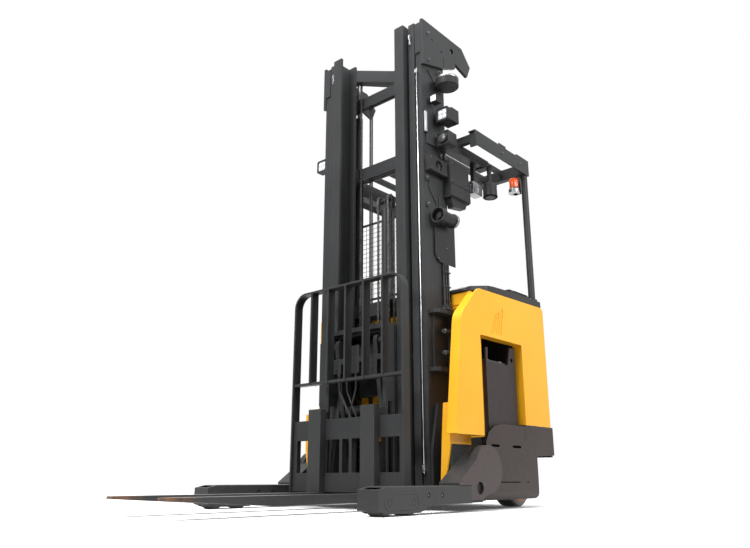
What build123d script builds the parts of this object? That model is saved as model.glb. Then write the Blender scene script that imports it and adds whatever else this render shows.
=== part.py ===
from build123d import *
import os
from math import asin, cos, radians, sqrt

# Electric reach truck: two outrigger legs, a three-stage mast, a scissor reach
# carriage with forks, and a narrow body with battery, drive unit and stand-up cab.
# +X points to the fork tips, +Y to the truck's left, +Z up. The origin lies on the
# floor under the middle of the overall length. Millimetres throughout.

# Clearances
seat_gap = 0.3              # between painted pieces that seat on each other
pin_gap = 0.1               # radial, pin in bore
roller_gap = 0.5            # radial, roller in its channel
run_gap = 6.0               # between mast stages

# Legs
leg_outer_y = 689.0
leg_width = 128.0
leg_front_x = 473.0
leg_rear_x = -241.0
leg_top_z = 129.0
leg_low_z = 43.0
leg_nose_z = 26.0
leg_nose_slope = 69.0
leg_nose_drop = 15.0
leg_box_low_z = 11.0        # underside of the wheel box
leg_box_x = (181.0, 426.0)
leg_box_slope = 75.0
leg_wall = 18.0
leg_roof = 5.0
leg_wheel_r = 59.0
leg_wheel_w = 84.0
leg_wheel_xs = (399.0, 231.0)
leg_axle_r = 12.5
wheel_well_gap = 8.0
cover_margin = 27.0         # axle centre to the end of the obround cover's straight
cover_r = 36.0
groove = 2.0
leg_bolts = ((118.0, 87.0), (10.0, 85.0))
leg_bolt_r = 9.0

# Leg root plates
root_hub = (-415.0, 210.0)
root_hub_r = 124.0
root_hole = (-322.0, 115.0)
root_hole_r = 31.0
root_top_z = 334.0
root_nose_x = -135.0
root_inner_y = 562.0

# Forks and their carriage
fork_tip_x = 1236.0
fork_y = 206.0
fork_w = 100.0
fork_t = 45.0
fork_top_z = 88.0
fork_tip_t = 12.0
fork_tip_w = 50.0
fork_taper_x = 700.0
shank_front_x = 21.0
shank_top_z = 548.0
bar_t = 30.0
bar_inset = 42.0            # carriage bar ends inside the backrest's sides
upper_bar_z = (376.0, 490.0)
lower_bar_z = (91.0, 193.0)
tie_plate_ys = (-34.0, 40.0)
tie_plate_t = 20.0

# Load backrest
rest_half_w = 438.0
rest_top_z = 1275.0
rest_mid_z = 697.0
rest_front_x = -7.0
rest_bar_t = 12.0
rest_bar_deep = 56.0
rest_bars = 7
rest_corner_r = 90.0
bar_half_w = rest_half_w - bar_inset
rest_mid_t = 16.0

# Scissor reach
arm_length = 780.0          # pivot to pivot
arm_half_w = 36.0
arm_t = 28.0
arm_a_y = 176.0             # inner face of each outer arm
arm_b_y = 140.0             # inner face of each inner arm
head_pin_x = -135.0
carriage_pin_x = -255.0
reach_low_z = 159.3         # height of the two lower rollers at rest
reach_turn = 51.8           # degrees that each arm turns when it reaches out
reach_pin_r = 19.0
reach_roller_r = 24.0
mid_pin_r = 24.0
plate_in_y = 214.0          # side plates of the reach head and the lift carriage
plate_t = 22.0
head_plate_x = (-178.0, -98.0)
lift_plate_x = (-345.0, -188.0)
lift_plate_low_z = 78.0
lift_plate_over = 90.0      # above the upper pivots
head_plate_low_z = 66.0
head_plate_over = 95.0
head_beam_x = (-178.0, -112.0)
cross_t = 26.0

# Tilt pivot of the fork carriage
tilt_pin = (-46.0, 520.0)
tilt_pin_r = 13.0
tilt_boss_r = 20.0
lug_t = 20.0
lug_gap = 0.5
tilt_rod_z = 142.0
tilt_rod_r = 14.0
tilt_barrel_r = 28.0
tilt_barrel_x = (-176.0, -82.0)

# Mast
rail_deep = 160.0
flange_t = 18.0
web_t = 14.0
outer_front_x = -234.0
mid_front_x = -227.0
inner_front_x = -192.0
outer_rail_y = (387.0, 430.0)
mid_rail_y = (335.0, 381.0)
inner_rail_y = (244.0, 317.0)
outer_back_x = -469.0
back_lip_t = 12.0
outer_low_z = 60.0
mid_low_z = 75.0
inner_low_z = 90.0
mast_top_z = 3023.0         # lowered height
outer_top_z = mast_top_z - 13
mid_top_z = mast_top_z - 5
inner_top_z = mast_top_z - 7
tie_bend = 40.0
outer_tie_t = 17.0
mid_tie_t = 12.0
inner_tie_t = 10.0
outer_ties = ((60.0, 340.0), (1150.0, 1270.0), (mast_top_z - 882, mast_top_z - 776),
              (mast_top_z - 306, mast_top_z - 216))
mid_ties = ((90.0, 230.0), (1160.0, 1260.0), (mast_top_z - 878, mast_top_z - 780),
            (mast_top_z - 302, mast_top_z - 220))
inner_ties = ((100.0, 260.0), (1170.0, 1250.0), (mast_top_z - 874, mast_top_z - 784))
bow_tie_z = (mast_top_z - 123, mast_top_z - 30)
bow_tie_deep = 180.0        # from the inner rails back to the bow's front face
bow_tie_wide = 105.0
bow_tie_flat = 50.0         # half of its straight middle

# Lift cylinders and chains
free_lift_x = -382.0
free_lift_r = 28.0
free_lift_drop = 1163.0     # crosshead of the free-lift cylinder below the mast top
free_lift_top_z = mast_top_z - free_lift_drop
side_lift_x = -500.0
side_lift_y = 355.0
side_lift_r = 26.0
side_barrel_top_z = mast_top_z - 323
lift_rod_r = 16.0
sheave_r = 22.0
sheave_t = 18.0
chain_y = 52.0
chain_w = 16.0
chain_t = 9.0

# Lifting plates: eye, small holes as x, drop and radius, slit as x, width and low drop
lift_plate_holes = ((-330.0, 110.0, 7.0), (-430.0, 150.0, 7.0))
lift_plate_slit = (-452.0, 5.0, 258.0)
lift_eye = (-548.0, mast_top_z - 88)
lift_eye_r = 20.0
lift_plate_t = 20.0

# Body
rear_x = -1236.0
body_side_y = 640.0
sheet_t = 12.0
return_deep = 62.0          # depth of the side panel's pillar and window returns
return_t = 10.0
panel_rear_x = -1212.0
panel_low_z = 468.0
panel_top_z = (1222.0, 1235.0)
window_x = (-912.0, -455.0)
window_z = (387.0, 949.0)
right_panel_front_x = -430.0
pillar_foot_x = -191.0
pillar_knee = (-275.0, 1042.0)
pillar_head = (-438.0, 1210.0)
cover_top_z = (1250.0, 1274.0)
cover_front_x = -450.0
skirt_low_z = 92.0
skirt_step_x = -1020.0
skirt_step_z = 289.0
skirt_top_z = 459.0
cowl_x = -546.0
cowl_front_x = -465.0
louvre_y = (448.0, 522.0)
louvres = 6
louvre_pitch = 17.0
battery_x = (-880.0, -558.3)
battery_half_w = 606.0
battery_z = (150.0, 815.0)
battery_ear_z = 925.0
floor_z = 260.0
cab_front_x = -930.0
cab_wall_y = 66.0
deck_z = 386.0

# Overhead guard
guard_x = (-1174.0, -511.0)
guard_out_y = 631.0
guard_rail_w = 50.0
guard_z = (2173.0, 2273.0)
guard_tab_h = 14.0
guard_tabs = ((-1174.0, -1017.0), (-878.0, -796.0))
guard_cross = 40.0
guard_wall = 8.0
guard_front_gap = 20.0      # open strip ahead of the front cross bar
guard_bars = 7
guard_bar_t = 12.0
guard_arm_z = (2150.0, 2215.0)
guard_arm_out = 70.0        # width of each arm beside the mast
guard_arm_flange = 22.0
post_x = -1147.0
post_y = 604.0
post_r = 22.5

# Equipment on the mast, each at its drop below the mast top
drum_drop = 405.0
drum_r = 74.0
drum_h = 60.0
lamp_size = 92.0
far_lamp_drop = 745.0
small_lamp_drop = 568.0
led_lamp_drop = 665.0
camera_lamp_drop = 831.0
fan_box_drop = 1015.0
control_box_drop = 1063.0
horn_drop = 1355.0
horn_r = 48.0
junction_drop = 1480.0
wire_r = 2.5
wire_place = (-224.0, 398.0)
wire_low_z = 215.0
cable_r = 6.0               # each of the three cables to the mast's boxes
cable_bend = 62.0
mount_z = (738.0, 1094.0)
mount_t = 22.0
right_mount_z = (608.0, 1012.0)
right_post_xs = (-346.0, -302.0)
clamp_h = 44.0

# Wheels under the body
drive_x = -1050.0
drive_y = 430.0
drive_r = 145.0
drive_w = 110.0
hub_r = 28.0
caster_x = -1060.0
caster_y = -430.0
caster_r = 90.0
caster_w = 60.0
caster_trail = 45.0
caster_axle_r = 12.0

# Scissor heights that follow from the arm length
rest_angle = asin((head_pin_x - carriage_pin_x) / arm_length)
low_pin_z = reach_low_z
reach_top_z = low_pin_z + arm_length * cos(rest_angle)
out_pin_z = reach_top_z - arm_length * cos(rest_angle + radians(reach_turn))
lift_plate_z = (lift_plate_low_z, reach_top_z + lift_plate_over)
head_plate_z = (head_plate_low_z, reach_top_z + head_plate_over)

os.makedirs("parts", exist_ok=True)
NODES = {}


# Plain forms
def box(x0, x1, y0, y1, z0, z1):
    centre = ((x0 + x1) / 2, (y0 + y1) / 2, (z0 + z1) / 2)
    return Pos(*centre) * Box(abs(x1 - x0), abs(y1 - y0), abs(z1 - z0))


def rod_x(y, z, r, x0, x1):
    return Pos((x0 + x1) / 2, y, z) * Rot(0, 90, 0) * Cylinder(r, abs(x1 - x0))


def rod_y(x, z, r, y0, y1):
    return Pos(x, (y0 + y1) / 2, z) * Rot(90, 0, 0) * Cylinder(r, abs(y1 - y0))


def rod_z(x, y, r, z0, z1):
    return Pos(x, y, (z0 + z1) / 2) * Cylinder(r, abs(z1 - z0))


def side_plate(points, y0, y1, radii=None):
    path = [(x, y0, z) for x, z in points]
    if radii is None:
        wire = Polyline(*path, close=True)
    else:
        wire = FilletPolyline(*path, radius=radii, close=True)
    return extrude(make_face(wire), amount=y1 - y0, dir=(0, 1, 0))


def flat_plate(points, z0, z1, radii=None):
    path = [(x, y, z0) for x, y in points]
    if radii is None:
        wire = Polyline(*path, close=True)
    else:
        wire = FilletPolyline(*path, radius=radii, close=True)
    return extrude(make_face(wire), amount=z1 - z0, dir=(0, 0, 1))


def other_side(shape):
    return mirror(shape, about=Plane.XZ)


def both_sides(shape):
    return shape + other_side(shape)


def welded(*shapes):
    return Compound([solid for shape in shapes for solid in shape.solids()])


def keep(name, shape):
    NODES[name] = shape


# Outrigger legs
leg_inner_y = leg_outer_y - leg_width
leg_mid_y = leg_outer_y - leg_width / 2


def leg_beam():
    front_low = leg_box_x[1]
    outline = [(leg_front_x, leg_nose_z), (leg_front_x, leg_top_z - leg_nose_drop),
               (leg_front_x - leg_nose_slope, leg_top_z), (leg_rear_x, leg_top_z),
               (leg_rear_x, leg_low_z), (leg_box_x[0] - leg_box_slope, leg_low_z),
               (leg_box_x[0], leg_box_low_z), (front_low, leg_box_low_z)]
    beam = side_plate(outline, leg_inner_y, leg_outer_y)
    top_edges = beam.edges().filter_by(Axis.X).group_by(Axis.Z)[-1]
    beam = fillet(top_edges, 8)
    well_y = (leg_inner_y + leg_wall, leg_outer_y - leg_wall)
    half = leg_wheel_r + wheel_well_gap
    for x in leg_wheel_xs:
        beam -= box(x - half, x + half, *well_y, 0, leg_top_z - leg_roof)
    return beam


def obround(low_x, high_x, z, r, y0, y1):
    mid = box(low_x, high_x, y0, y1, z - r, z + r)
    return mid + rod_y(low_x, z, r, y0, y1) + rod_y(high_x, z, r, y0, y1)


def leg():
    beam = leg_beam()
    face = leg_outer_y
    low, high = min(leg_wheel_xs), max(leg_wheel_xs)
    ring = obround(low, high, leg_wheel_r, cover_r, face - groove, face + 1)
    ring -= obround(low, high, leg_wheel_r, cover_r - groove, face - groove, face + 1)
    beam -= ring
    for x, z in leg_bolts:
        beam -= rod_y(x, z, leg_bolt_r, face - 6, face + 1)
    for x in leg_wheel_xs:
        beam += rod_y(x, leg_wheel_r, leg_axle_r, leg_inner_y, face)
        for y, side in ((leg_inner_y + leg_wall, 1), (face - leg_wall, -1)):
            boss = (leg_width - 2 * leg_wall - leg_wheel_w) / 2 - roller_gap
            beam += rod_y(x, leg_wheel_r, 1.8 * leg_axle_r, y, y + side * boss)
    return beam


def leg_wheel(x):
    y0 = leg_mid_y - leg_wheel_w / 2
    y1 = leg_mid_y + leg_wheel_w / 2
    wheel = rod_y(x, leg_wheel_r, leg_wheel_r, y0, y1)
    wheel = chamfer(wheel.edges().filter_by(GeomType.CIRCLE), 4)
    return wheel - rod_y(x, leg_wheel_r, leg_axle_r + pin_gap, y0 - 1, y1 + 1)


left_leg = leg()
keep("left_leg", left_leg)
keep("right_leg", other_side(left_leg))
for place, wheel_x in (("front", leg_wheel_xs[0]), ("rear", leg_wheel_xs[1])):
    roller = leg_wheel(wheel_x)
    keep("left_" + place + "_load_wheel", roller)
    keep("right_" + place + "_load_wheel", other_side(roller))


# Wedge and round plate that join each leg to the body
def leg_root():
    x, z = root_hub
    top = leg_top_z + seat_gap
    rear = leg_rear_x - seat_gap
    wedge = [(x, root_top_z), (root_nose_x, top + 12), (root_nose_x, top), (rear, top),
             (rear, leg_low_z), (x, leg_low_z)]
    inner = side_plate(wedge, root_inner_y, body_side_y + seat_gap)
    face_y = (body_side_y + seat_gap, leg_outer_y - 1)
    low = z - root_hub_r
    blade = [(x, root_top_z), (root_nose_x, top + 12), (root_nose_x, top), (rear, top),
             (rear, leg_low_z + 15), (root_hole[0] - 17, leg_low_z + 15), (x, low)]
    plate = side_plate(blade, *face_y) + rod_y(x, z, root_hub_r, *face_y)
    plate -= rod_y(*root_hole, root_hole_r, leg_outer_y - 12, leg_outer_y)
    return plate + inner


left_root = leg_root()
keep("leg_roots", both_sides(left_root))


# Chassis frame: base plate and wall under the mast, side walls to the legs, tray
base_x = (cowl_x - sheet_t, leg_rear_x - seat_gap)
base_z = (45.0, outer_low_z - seat_gap)
wall_x = (cowl_x - sheet_t, cowl_x)
brace_top_z = 560.0
upright_x = (-255.0, -243.0)
upright_y = (478.0, root_inner_y - seat_gap)
upright_z = (125.0, 556.0)
member_z = (340.0, 402.0)


def chassis():
    side_y = root_inner_y - seat_gap
    plate = box(*base_x, -side_y, side_y, *base_z)
    wall = box(*wall_x, -side_y, side_y, base_z[1], deck_z - seat_gap)
    rail_y = outer_rail_y[1] + seat_gap
    outline = [(base_x[1], base_z[1]), (base_x[1], 300), (-300, brace_top_z),
               (wall_x[1], brace_top_z), (wall_x[1], base_z[1])]
    brace = side_plate(outline, rail_y, rail_y + 16)
    cheek = box(wall_x[1], upright_x[0] - seat_gap, side_y - 16, side_y, base_z[1],
                member_z[0] - seat_gap)
    tray = box(battery_x[0] + 30, wall_x[0], -side_y, side_y, 100, battery_z[0] - seat_gap)
    return welded(plate, wall, both_sides(brace), both_sides(cheek), tray)


keep("chassis_frame", chassis())


# Yellow upright and side member in front of the body, inboard of each leg root
def front_gate():
    x0, x1 = upright_x
    low_y, high_y = upright_y
    outline = [(low_y + 14, upright_z[0]), (high_y - 40, upright_z[0]),
               (high_y, member_z[0]), (high_y, upright_z[1]), (low_y + 44, upright_z[1]),
               (low_y + 30, 380)]
    wire = Polyline(*[(x0, y, z) for y, z in outline], close=True)
    plate = extrude(make_face(wire), amount=x1 - x0, dir=(1, 0, 0))
    member = box(-440, x0, high_y - 12, high_y, *member_z)
    return plate + member


left_gate = front_gate()
keep("front_gates", both_sides(left_gate))


# Mast rails: C channels that open to the middle of the truck
def channel(front_x, span_y, low_z, top_z):
    rear = front_x - rail_deep
    web_y = span_y[1] - web_t
    web = box(rear, front_x, web_y, span_y[1], low_z, top_z)
    front = box(front_x - flange_t, front_x, span_y[0], web_y, low_z, top_z)
    back = box(rear, rear + flange_t, span_y[0], web_y, low_z, top_z)
    return welded(web, front, back)


def pair(shape):
    return welded(shape, other_side(shape))


# Cross tie that runs behind the stage inside it, with a bent wing at each rail
def bent_tie(rail_rear_x, half_y, wing_y, back_x, t, span_z):
    turn = half_y - tie_bend
    front = back_x + t
    middle = [(back_x, turn + 8), (back_x, -turn - 8), (front, -turn + 8), (front, turn - 8)]
    wing = [(rail_rear_x, half_y), (front, half_y), (back_x, turn + 8), (front, turn - 8),
            (rail_rear_x, wing_y)]
    left = flat_plate(wing, *span_z)
    return welded(flat_plate(middle, *span_z), left, other_side(left))


# Guide roller of one stage in the channel of the next stage out
def guide_roller(channel_front_x, web_y, out_y, z):
    r = rail_deep / 2 - flange_t - roller_gap
    return rod_y(channel_front_x - rail_deep / 2, z, r, web_y, out_y)


roller_edge = 4.0           # roller end to the web it runs beside


def outer_mast():
    rear = outer_front_x - rail_deep
    web_y = outer_rail_y[1] - web_t
    span_z = (outer_low_z, outer_top_z)
    web = box(outer_back_x, outer_front_x, web_y, outer_rail_y[1], *span_z)
    solids = [pair(web)]
    for x0, x1 in ((outer_front_x - flange_t, outer_front_x), (rear, rear + flange_t),
                   (outer_back_x, outer_back_x + back_lip_t)):
        solids.append(pair(box(x0, x1, outer_rail_y[0], web_y, *span_z)))
    half = outer_rail_y[0]
    for span in outer_ties:
        solids.append(box(outer_back_x, outer_back_x + outer_tie_t, -half, half, *span))
    return welded(*solids)


def mid_mast():
    rear = mid_front_x - rail_deep
    solids = [pair(channel(mid_front_x, mid_rail_y, mid_low_z, mid_top_z))]
    back = outer_back_x + outer_tie_t + run_gap
    for span in mid_ties:
        solids.append(bent_tie(rear, mid_rail_y[1], mid_rail_y[0], back, mid_tie_t, span))
    out_y = outer_rail_y[1] - web_t - roller_edge
    for z in (mid_low_z + 90, mid_low_z + 700):
        solids.append(both_sides(guide_roller(outer_front_x, mid_rail_y[1], out_y, z)))
    shelf = box(side_lift_x - side_lift_r, rear, mid_rail_y[0] - 4, mid_rail_y[1],
                mid_top_z - 34, mid_top_z)
    solids.append(both_sides(shelf))
    return welded(*solids)


# Top tie of the inner stage, bowed back over the other stages' ties
def bow_tie(rear):
    front_y = inner_rail_y[0]
    bow = rear - bow_tie_deep
    half = [(rear, front_y), (bow, bow_tie_flat), (bow - bow_tie_wide, bow_tie_flat),
            (rear, inner_rail_y[1])]
    middle = box(bow - bow_tie_wide, bow, -bow_tie_flat, bow_tie_flat, *bow_tie_z)
    wing = flat_plate(half, *bow_tie_z)
    return welded(middle, wing, other_side(wing))


def inner_mast():
    rear = inner_front_x - rail_deep
    solids = [pair(channel(inner_front_x, inner_rail_y, inner_low_z, inner_top_z))]
    back = outer_back_x + outer_tie_t + run_gap + mid_tie_t + run_gap
    wing_y = inner_rail_y[1] - 24
    for span in inner_ties:
        solids.append(bent_tie(rear, inner_rail_y[1], wing_y, back, inner_tie_t, span))
    out_y = mid_rail_y[1] - web_t - roller_edge
    for z in (inner_low_z + 120, inner_low_z + 740):
        solids.append(both_sides(guide_roller(mid_front_x, inner_rail_y[1], out_y, z)))
    solids.append(bow_tie(rear))
    foot = box(back + inner_tie_t, rear, -120, 120, inner_ties[0][1] - 30,
               inner_ties[0][1])
    solids.append(foot)
    return welded(*solids)


keep("mast_outer", outer_mast())
keep("mast_mid", mid_mast())
keep("mast_inner", inner_mast())


# Lifting plates at the mast top, each with a front plate that caps its rail
def lifting_plate():
    top = mast_top_z
    outline = [(outer_front_x + 8, top), (-668, top - 6), (-766, top - 110),
               (-726, top - 202), (-585, top - 163), (-582, top - 207), (-468, top - 262),
               (outer_front_x + 8, top - 334)]
    y0 = outer_rail_y[1] + seat_gap
    plate = side_plate(outline, y0, y0 + lift_plate_t)
    plate -= rod_y(*lift_eye, lift_eye_r, y0 - 1, y0 + lift_plate_t + 1)
    for x, drop, r in lift_plate_holes:
        plate -= rod_y(x, top - drop, r, y0 - 1, y0 + lift_plate_t + 1)
    slit_x, slit_w, slit_low = lift_plate_slit
    slit_z = (top - slit_low, top - slit_low + 78)
    plate -= box(slit_x, slit_x + slit_w, y0 + 12, y0 + lift_plate_t + 1, *slit_z)
    cap = box(outer_front_x + seat_gap, outer_front_x + 8, outer_rail_y[0], y0 + 1,
              top - 240, top - 20)
    return plate + cap


left_lifting = lifting_plate()
keep("lifting_plates", both_sides(left_lifting))


# Side lift cylinders: barrels stand on the base plate, rods carry the middle stage
def lift_barrel():
    barrel = rod_z(side_lift_x, side_lift_y, side_lift_r, outer_low_z, side_barrel_top_z)
    barrel += rod_z(side_lift_x, side_lift_y, side_lift_r - 2, side_barrel_top_z - 40,
                    side_barrel_top_z)
    return barrel - rod_z(side_lift_x, side_lift_y, lift_rod_r + pin_gap,
                          outer_low_z + 40, side_barrel_top_z + 1)


keep("lift_cylinders", both_sides(lift_barrel()))
keep("lift_rods", both_sides(rod_z(side_lift_x, side_lift_y, lift_rod_r,
                                   outer_low_z + 50, mid_top_z - 34)))


# Free-lift cylinder with its crosshead and chain sheaves on the inner stage
def free_lift():
    low = inner_ties[0][1] + seat_gap
    barrel = rod_z(free_lift_x, 0, free_lift_r, low, free_lift_top_z)
    head = box(free_lift_x - 20, free_lift_x + 20, -chain_y - 14, chain_y + 14,
               free_lift_top_z, free_lift_top_z + 30)
    axle = rod_y(free_lift_x, free_lift_top_z + 62, 10, -chain_y - 14, chain_y + 14)
    for y in (-chain_y - 14, -3, chain_y + 8):
        head += box(free_lift_x - 12, free_lift_x + 12, y, y + 6, free_lift_top_z + 29,
                    free_lift_top_z + 76)
    head += axle
    for y in (-chain_y + sheave_t / 2, chain_y - sheave_t / 2):
        head += rod_y(free_lift_x, free_lift_top_z + 62, sheave_r, y - 9, y + 9)
    return barrel + head


keep("free_lift_cylinder", free_lift())


# Leaf chains over the free-lift sheaves, one run in front and one behind
def lift_chains():
    top = free_lift_top_z + 62
    low_y = chain_y - sheave_t / 2 - chain_w / 2
    span_y = (low_y, low_y + chain_w)
    inner_r = sheave_r + seat_gap
    outer_r = inner_r + chain_t
    bow = rod_y(free_lift_x, top, outer_r, *span_y)
    bow -= rod_y(free_lift_x, top, inner_r, low_y - 1, span_y[1] + 1)
    bow -= box(free_lift_x - 50, free_lift_x + 50, low_y - 1, span_y[1] + 1, top - 60, top)
    front = box(free_lift_x + inner_r, free_lift_x + outer_r, *span_y,
                lift_plate_z[1] + 8, top)
    rear = box(free_lift_x - outer_r, free_lift_x - inner_r, *span_y,
               inner_ties[0][1] + 40, top)
    return both_sides(bow + front + rear)


keep("lift_chains", lift_chains())


# Chains in front of the inner ties, and pipes clipped to the back of the outer ties
pipe_ys = (-224.0, -206.0)
pipe_r = 6.0
mast_chain_y = 254.0


def mast_chains():
    rear = outer_back_x + outer_tie_t + run_gap + mid_tie_t + run_gap + inner_tie_t + seat_gap
    y0 = mast_chain_y - chain_w / 2
    run = box(rear, rear + chain_t, y0, y0 + chain_w, inner_ties[0][1] - 60,
              bow_tie_z[0] - seat_gap)
    anchor = box(rear, rear + 26, y0 - 4, y0 + chain_w + 2, inner_ties[0][0],
                 inner_ties[0][1] - 61)
    return welded(pair(run), pair(anchor))


def mast_pipes():
    rear = outer_back_x - seat_gap
    solids = []
    for y in pipe_ys:
        solids.append(rod_z(rear - pipe_r, y, pipe_r, outer_ties[0][0] + 90,
                            outer_ties[3][1] - 20))
    return welded(*solids)


keep("mast_chains", mast_chains())
keep("mast_pipes", mast_pipes())


# Scissor pivots at rest
mid_pin = ((head_pin_x + carriage_pin_x) / 2, (reach_top_z + low_pin_z) / 2)
upper_rear = (carriage_pin_x, reach_top_z)
lower_front = (head_pin_x, low_pin_z)
upper_front = (head_pin_x, reach_top_z)
lower_rear = (carriage_pin_x, low_pin_z)
slot_half = reach_roller_r + roller_gap
slot_z = (low_pin_z - reach_roller_r - 4, out_pin_z + reach_roller_r + 6)


# Side plate welded up around the vertical track of a scissor roller
def track_plate(x_span, pin_x, z_span, hole_r):
    y0, y1 = plate_in_y, plate_in_y + plate_t
    head = box(*x_span, y0, y1, slot_z[1], z_span[1])
    if hole_r:
        head -= rod_y(pin_x, reach_top_z, hole_r, y0 - 1, y1 + 1)
    foot = box(*x_span, y0, y1, z_span[0], slot_z[0])
    rear = box(x_span[0], pin_x - slot_half, y0, y1, *slot_z)
    front = box(pin_x + slot_half, x_span[1], y0, y1, *slot_z)
    return welded(head, foot, rear, front)


# Lift carriage: rolls in the inner stage and carries the rear of the scissor
carriage_roller_zs = (250.0, reach_top_z - 70)
carriage_roller_y = (262.0, 299.0)
valve_box_z = (reach_top_z - 180, reach_top_z + 10)


def lift_carriage():
    y0, y1 = plate_in_y, plate_in_y + plate_t
    plate = track_plate(lift_plate_x, carriage_pin_x, lift_plate_z, 0)
    pin = rod_y(*upper_rear, reach_pin_r, arm_a_y - 4, y0)
    roll_x = inner_front_x - rail_deep / 2
    r = rail_deep / 2 - flange_t - roller_gap
    solids = [plate, other_side(plate), both_sides(pin)]
    for z in carriage_roller_zs:
        solids.append(both_sides(rod_y(roll_x, z, 25, y1, carriage_roller_y[0])))
        solids.append(both_sides(rod_y(roll_x, z, r, *carriage_roller_y)))
    top = lift_plate_z[1]
    low = lift_plate_z[0]
    rear = lift_plate_x[0]
    solids.append(box(*lift_plate_x, -y0, y0, top - cross_t, top))
    solids.append(box(*lift_plate_x, -y0, y0, low, low + cross_t))
    back = box(rear, rear + 16, -y0, y0, reach_top_z - 290, top - cross_t)
    solids.append(back)
    solids.append(box(rear + 16, rear + 110, -110, 110, *valve_box_z))
    return welded(*solids)


keep("lift_carriage", lift_carriage())


# Scissor arms, drawn along the line between their end pivots
def arm_bar(start, end, y0, y1):
    sx, sz = start
    ex, ez = end
    length = sqrt((ex - sx) ** 2 + (ez - sz) ** 2)
    ux, uz = (ex - sx) / length, (ez - sz) / length
    nx, nz = -uz * arm_half_w, ux * arm_half_w
    mx, mz = (sx + ex) / 2, (sz + ez) / 2
    points = [(sx + nx, sz + nz), (mx + nx * 1.15, mz + nz * 1.15), (ex + nx, ez + nz),
              (ex - nx, ez - nz), (mx - nx * 1.15, mz - nz * 1.15), (sx - nx, sz - nz)]
    bar = side_plate(points, y0, y1)
    bar += rod_y(sx, sz, arm_half_w, y0, y1)
    bar += rod_y(ex, ez, arm_half_w, y0, y1)
    return bar


def end_roller(x, z, from_y):
    pin = rod_y(x, z, reach_pin_r - 3, from_y, plate_in_y)
    return welded(pin, rod_y(x, z, reach_roller_r, plate_in_y, plate_in_y + plate_t))


def along(start, end, t):
    return (start[0] + (end[0] - start[0]) * t, start[1] + (end[1] - start[1]) * t)


def arm_a():
    y0, y1 = arm_a_y, arm_a_y + arm_t
    bar = arm_bar(upper_rear, lower_front, y0, y1)
    bar -= rod_y(*upper_rear, reach_pin_r + pin_gap, y0 - 1, y1 + 1)
    pin = rod_y(*mid_pin, mid_pin_r, arm_b_y + 4, y0)
    side = welded(bar, pin, end_roller(*lower_front, y1))
    return welded(side, other_side(side))


def arm_b():
    y0, y1 = arm_b_y, arm_b_y + arm_t
    bar = arm_bar(upper_front, lower_rear, y0, y1)
    bar -= rod_y(*mid_pin, mid_pin_r + pin_gap, y0 + 3, y1 + 1)
    pin = rod_y(*upper_front, reach_pin_r, y1, plate_in_y + plate_t)
    side = welded(bar, pin, end_roller(*lower_rear, y1))
    solids = [side, other_side(side)]
    for t, r in ((0.14, 24), (0.5, 30)):
        solids.append(rod_y(*along(upper_front, lower_rear, t), r, -y0, y0))
    return welded(*solids)


keep("scissor_arm_outer", arm_a())
keep("scissor_arm_inner", arm_b())


# Front plates of the reach head: y range, heights below the upper pivots, bolt y
front_plates = ((-186.0, -115.0, 80.0, 170.0, -150.0), (-93.0, 32.0, 15.0, 178.0, -30.0),
                (94.0, 171.0, 80.0, 203.0, 132.0))
front_bar_x = (head_plate_x[1] - 8, head_plate_x[1])
front_bar_drop = (85.0, 115.0)
plate_bolt_r = 8.0


def front_plate(y0, y1, over, under, bolt_y):
    x0, x1 = front_bar_x
    solids = []
    for near, far in ((over, front_bar_drop[0]), (front_bar_drop[1], under)):
        if far - near < 10:
            continue
        face = box(x0, x1, y0, y1, reach_top_z - far, reach_top_z - near)
        mid = reach_top_z - (near + far) / 2
        solids.append(face + rod_x(bolt_y, mid, plate_bolt_r, x1 - 1, x1 + 3))
    return welded(*solids)


# Reach head: carries# Reach head: carries the fork carriage on the front of the scissor
def reach_head():
    y0, y1 = plate_in_y, plate_in_y + plate_t
    plate = track_plate(head_plate_x, head_pin_x, head_plate_z, reach_pin_r + pin_gap)
    px, pz = tilt_pin
    boss = box(head_plate_x[1], px, y0, y1, pz - tilt_boss_r, pz + tilt_boss_r)
    boss += rod_y(px, pz, tilt_boss_r, y0, y1)
    boss += rod_y(px, pz, tilt_pin_r, y0 - lug_t - 1, y1 + lug_t + 1)
    side = welded(plate, boss)
    solids = [box(*front_bar_x, -y0, y0, reach_top_z - front_bar_drop[1],
                  reach_top_z - front_bar_drop[0])]
    for row in front_plates:
        solids.append(front_plate(*row))
    top = box(*head_beam_x, -y0, y0, head_plate_z[1] - cross_t, head_plate_z[1])
    low = box(*head_beam_x, -y0, y0, head_plate_z[0], head_plate_z[0] + cross_t)
    return welded(side, other_side(side), top, low, *solids)


def tilt_barrel():
    foot_z = head_plate_z[0] + cross_t
    barrel = rod_x(0, tilt_rod_z, tilt_barrel_r, *tilt_barrel_x)
    barrel += box(tilt_barrel_x[0], tilt_barrel_x[0] + 50, -22, 22, foot_z, tilt_rod_z)
    for x in port_xs:
        barrel += rod_z(x, 0, 9, tilt_rod_z + tilt_barrel_r - 4, port_top_z)
    return barrel - rod_x(0, tilt_rod_z, tilt_rod_r + pin_gap, tilt_barrel_x[0] + 20,
                          tilt_barrel_x[1] + 1)


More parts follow.
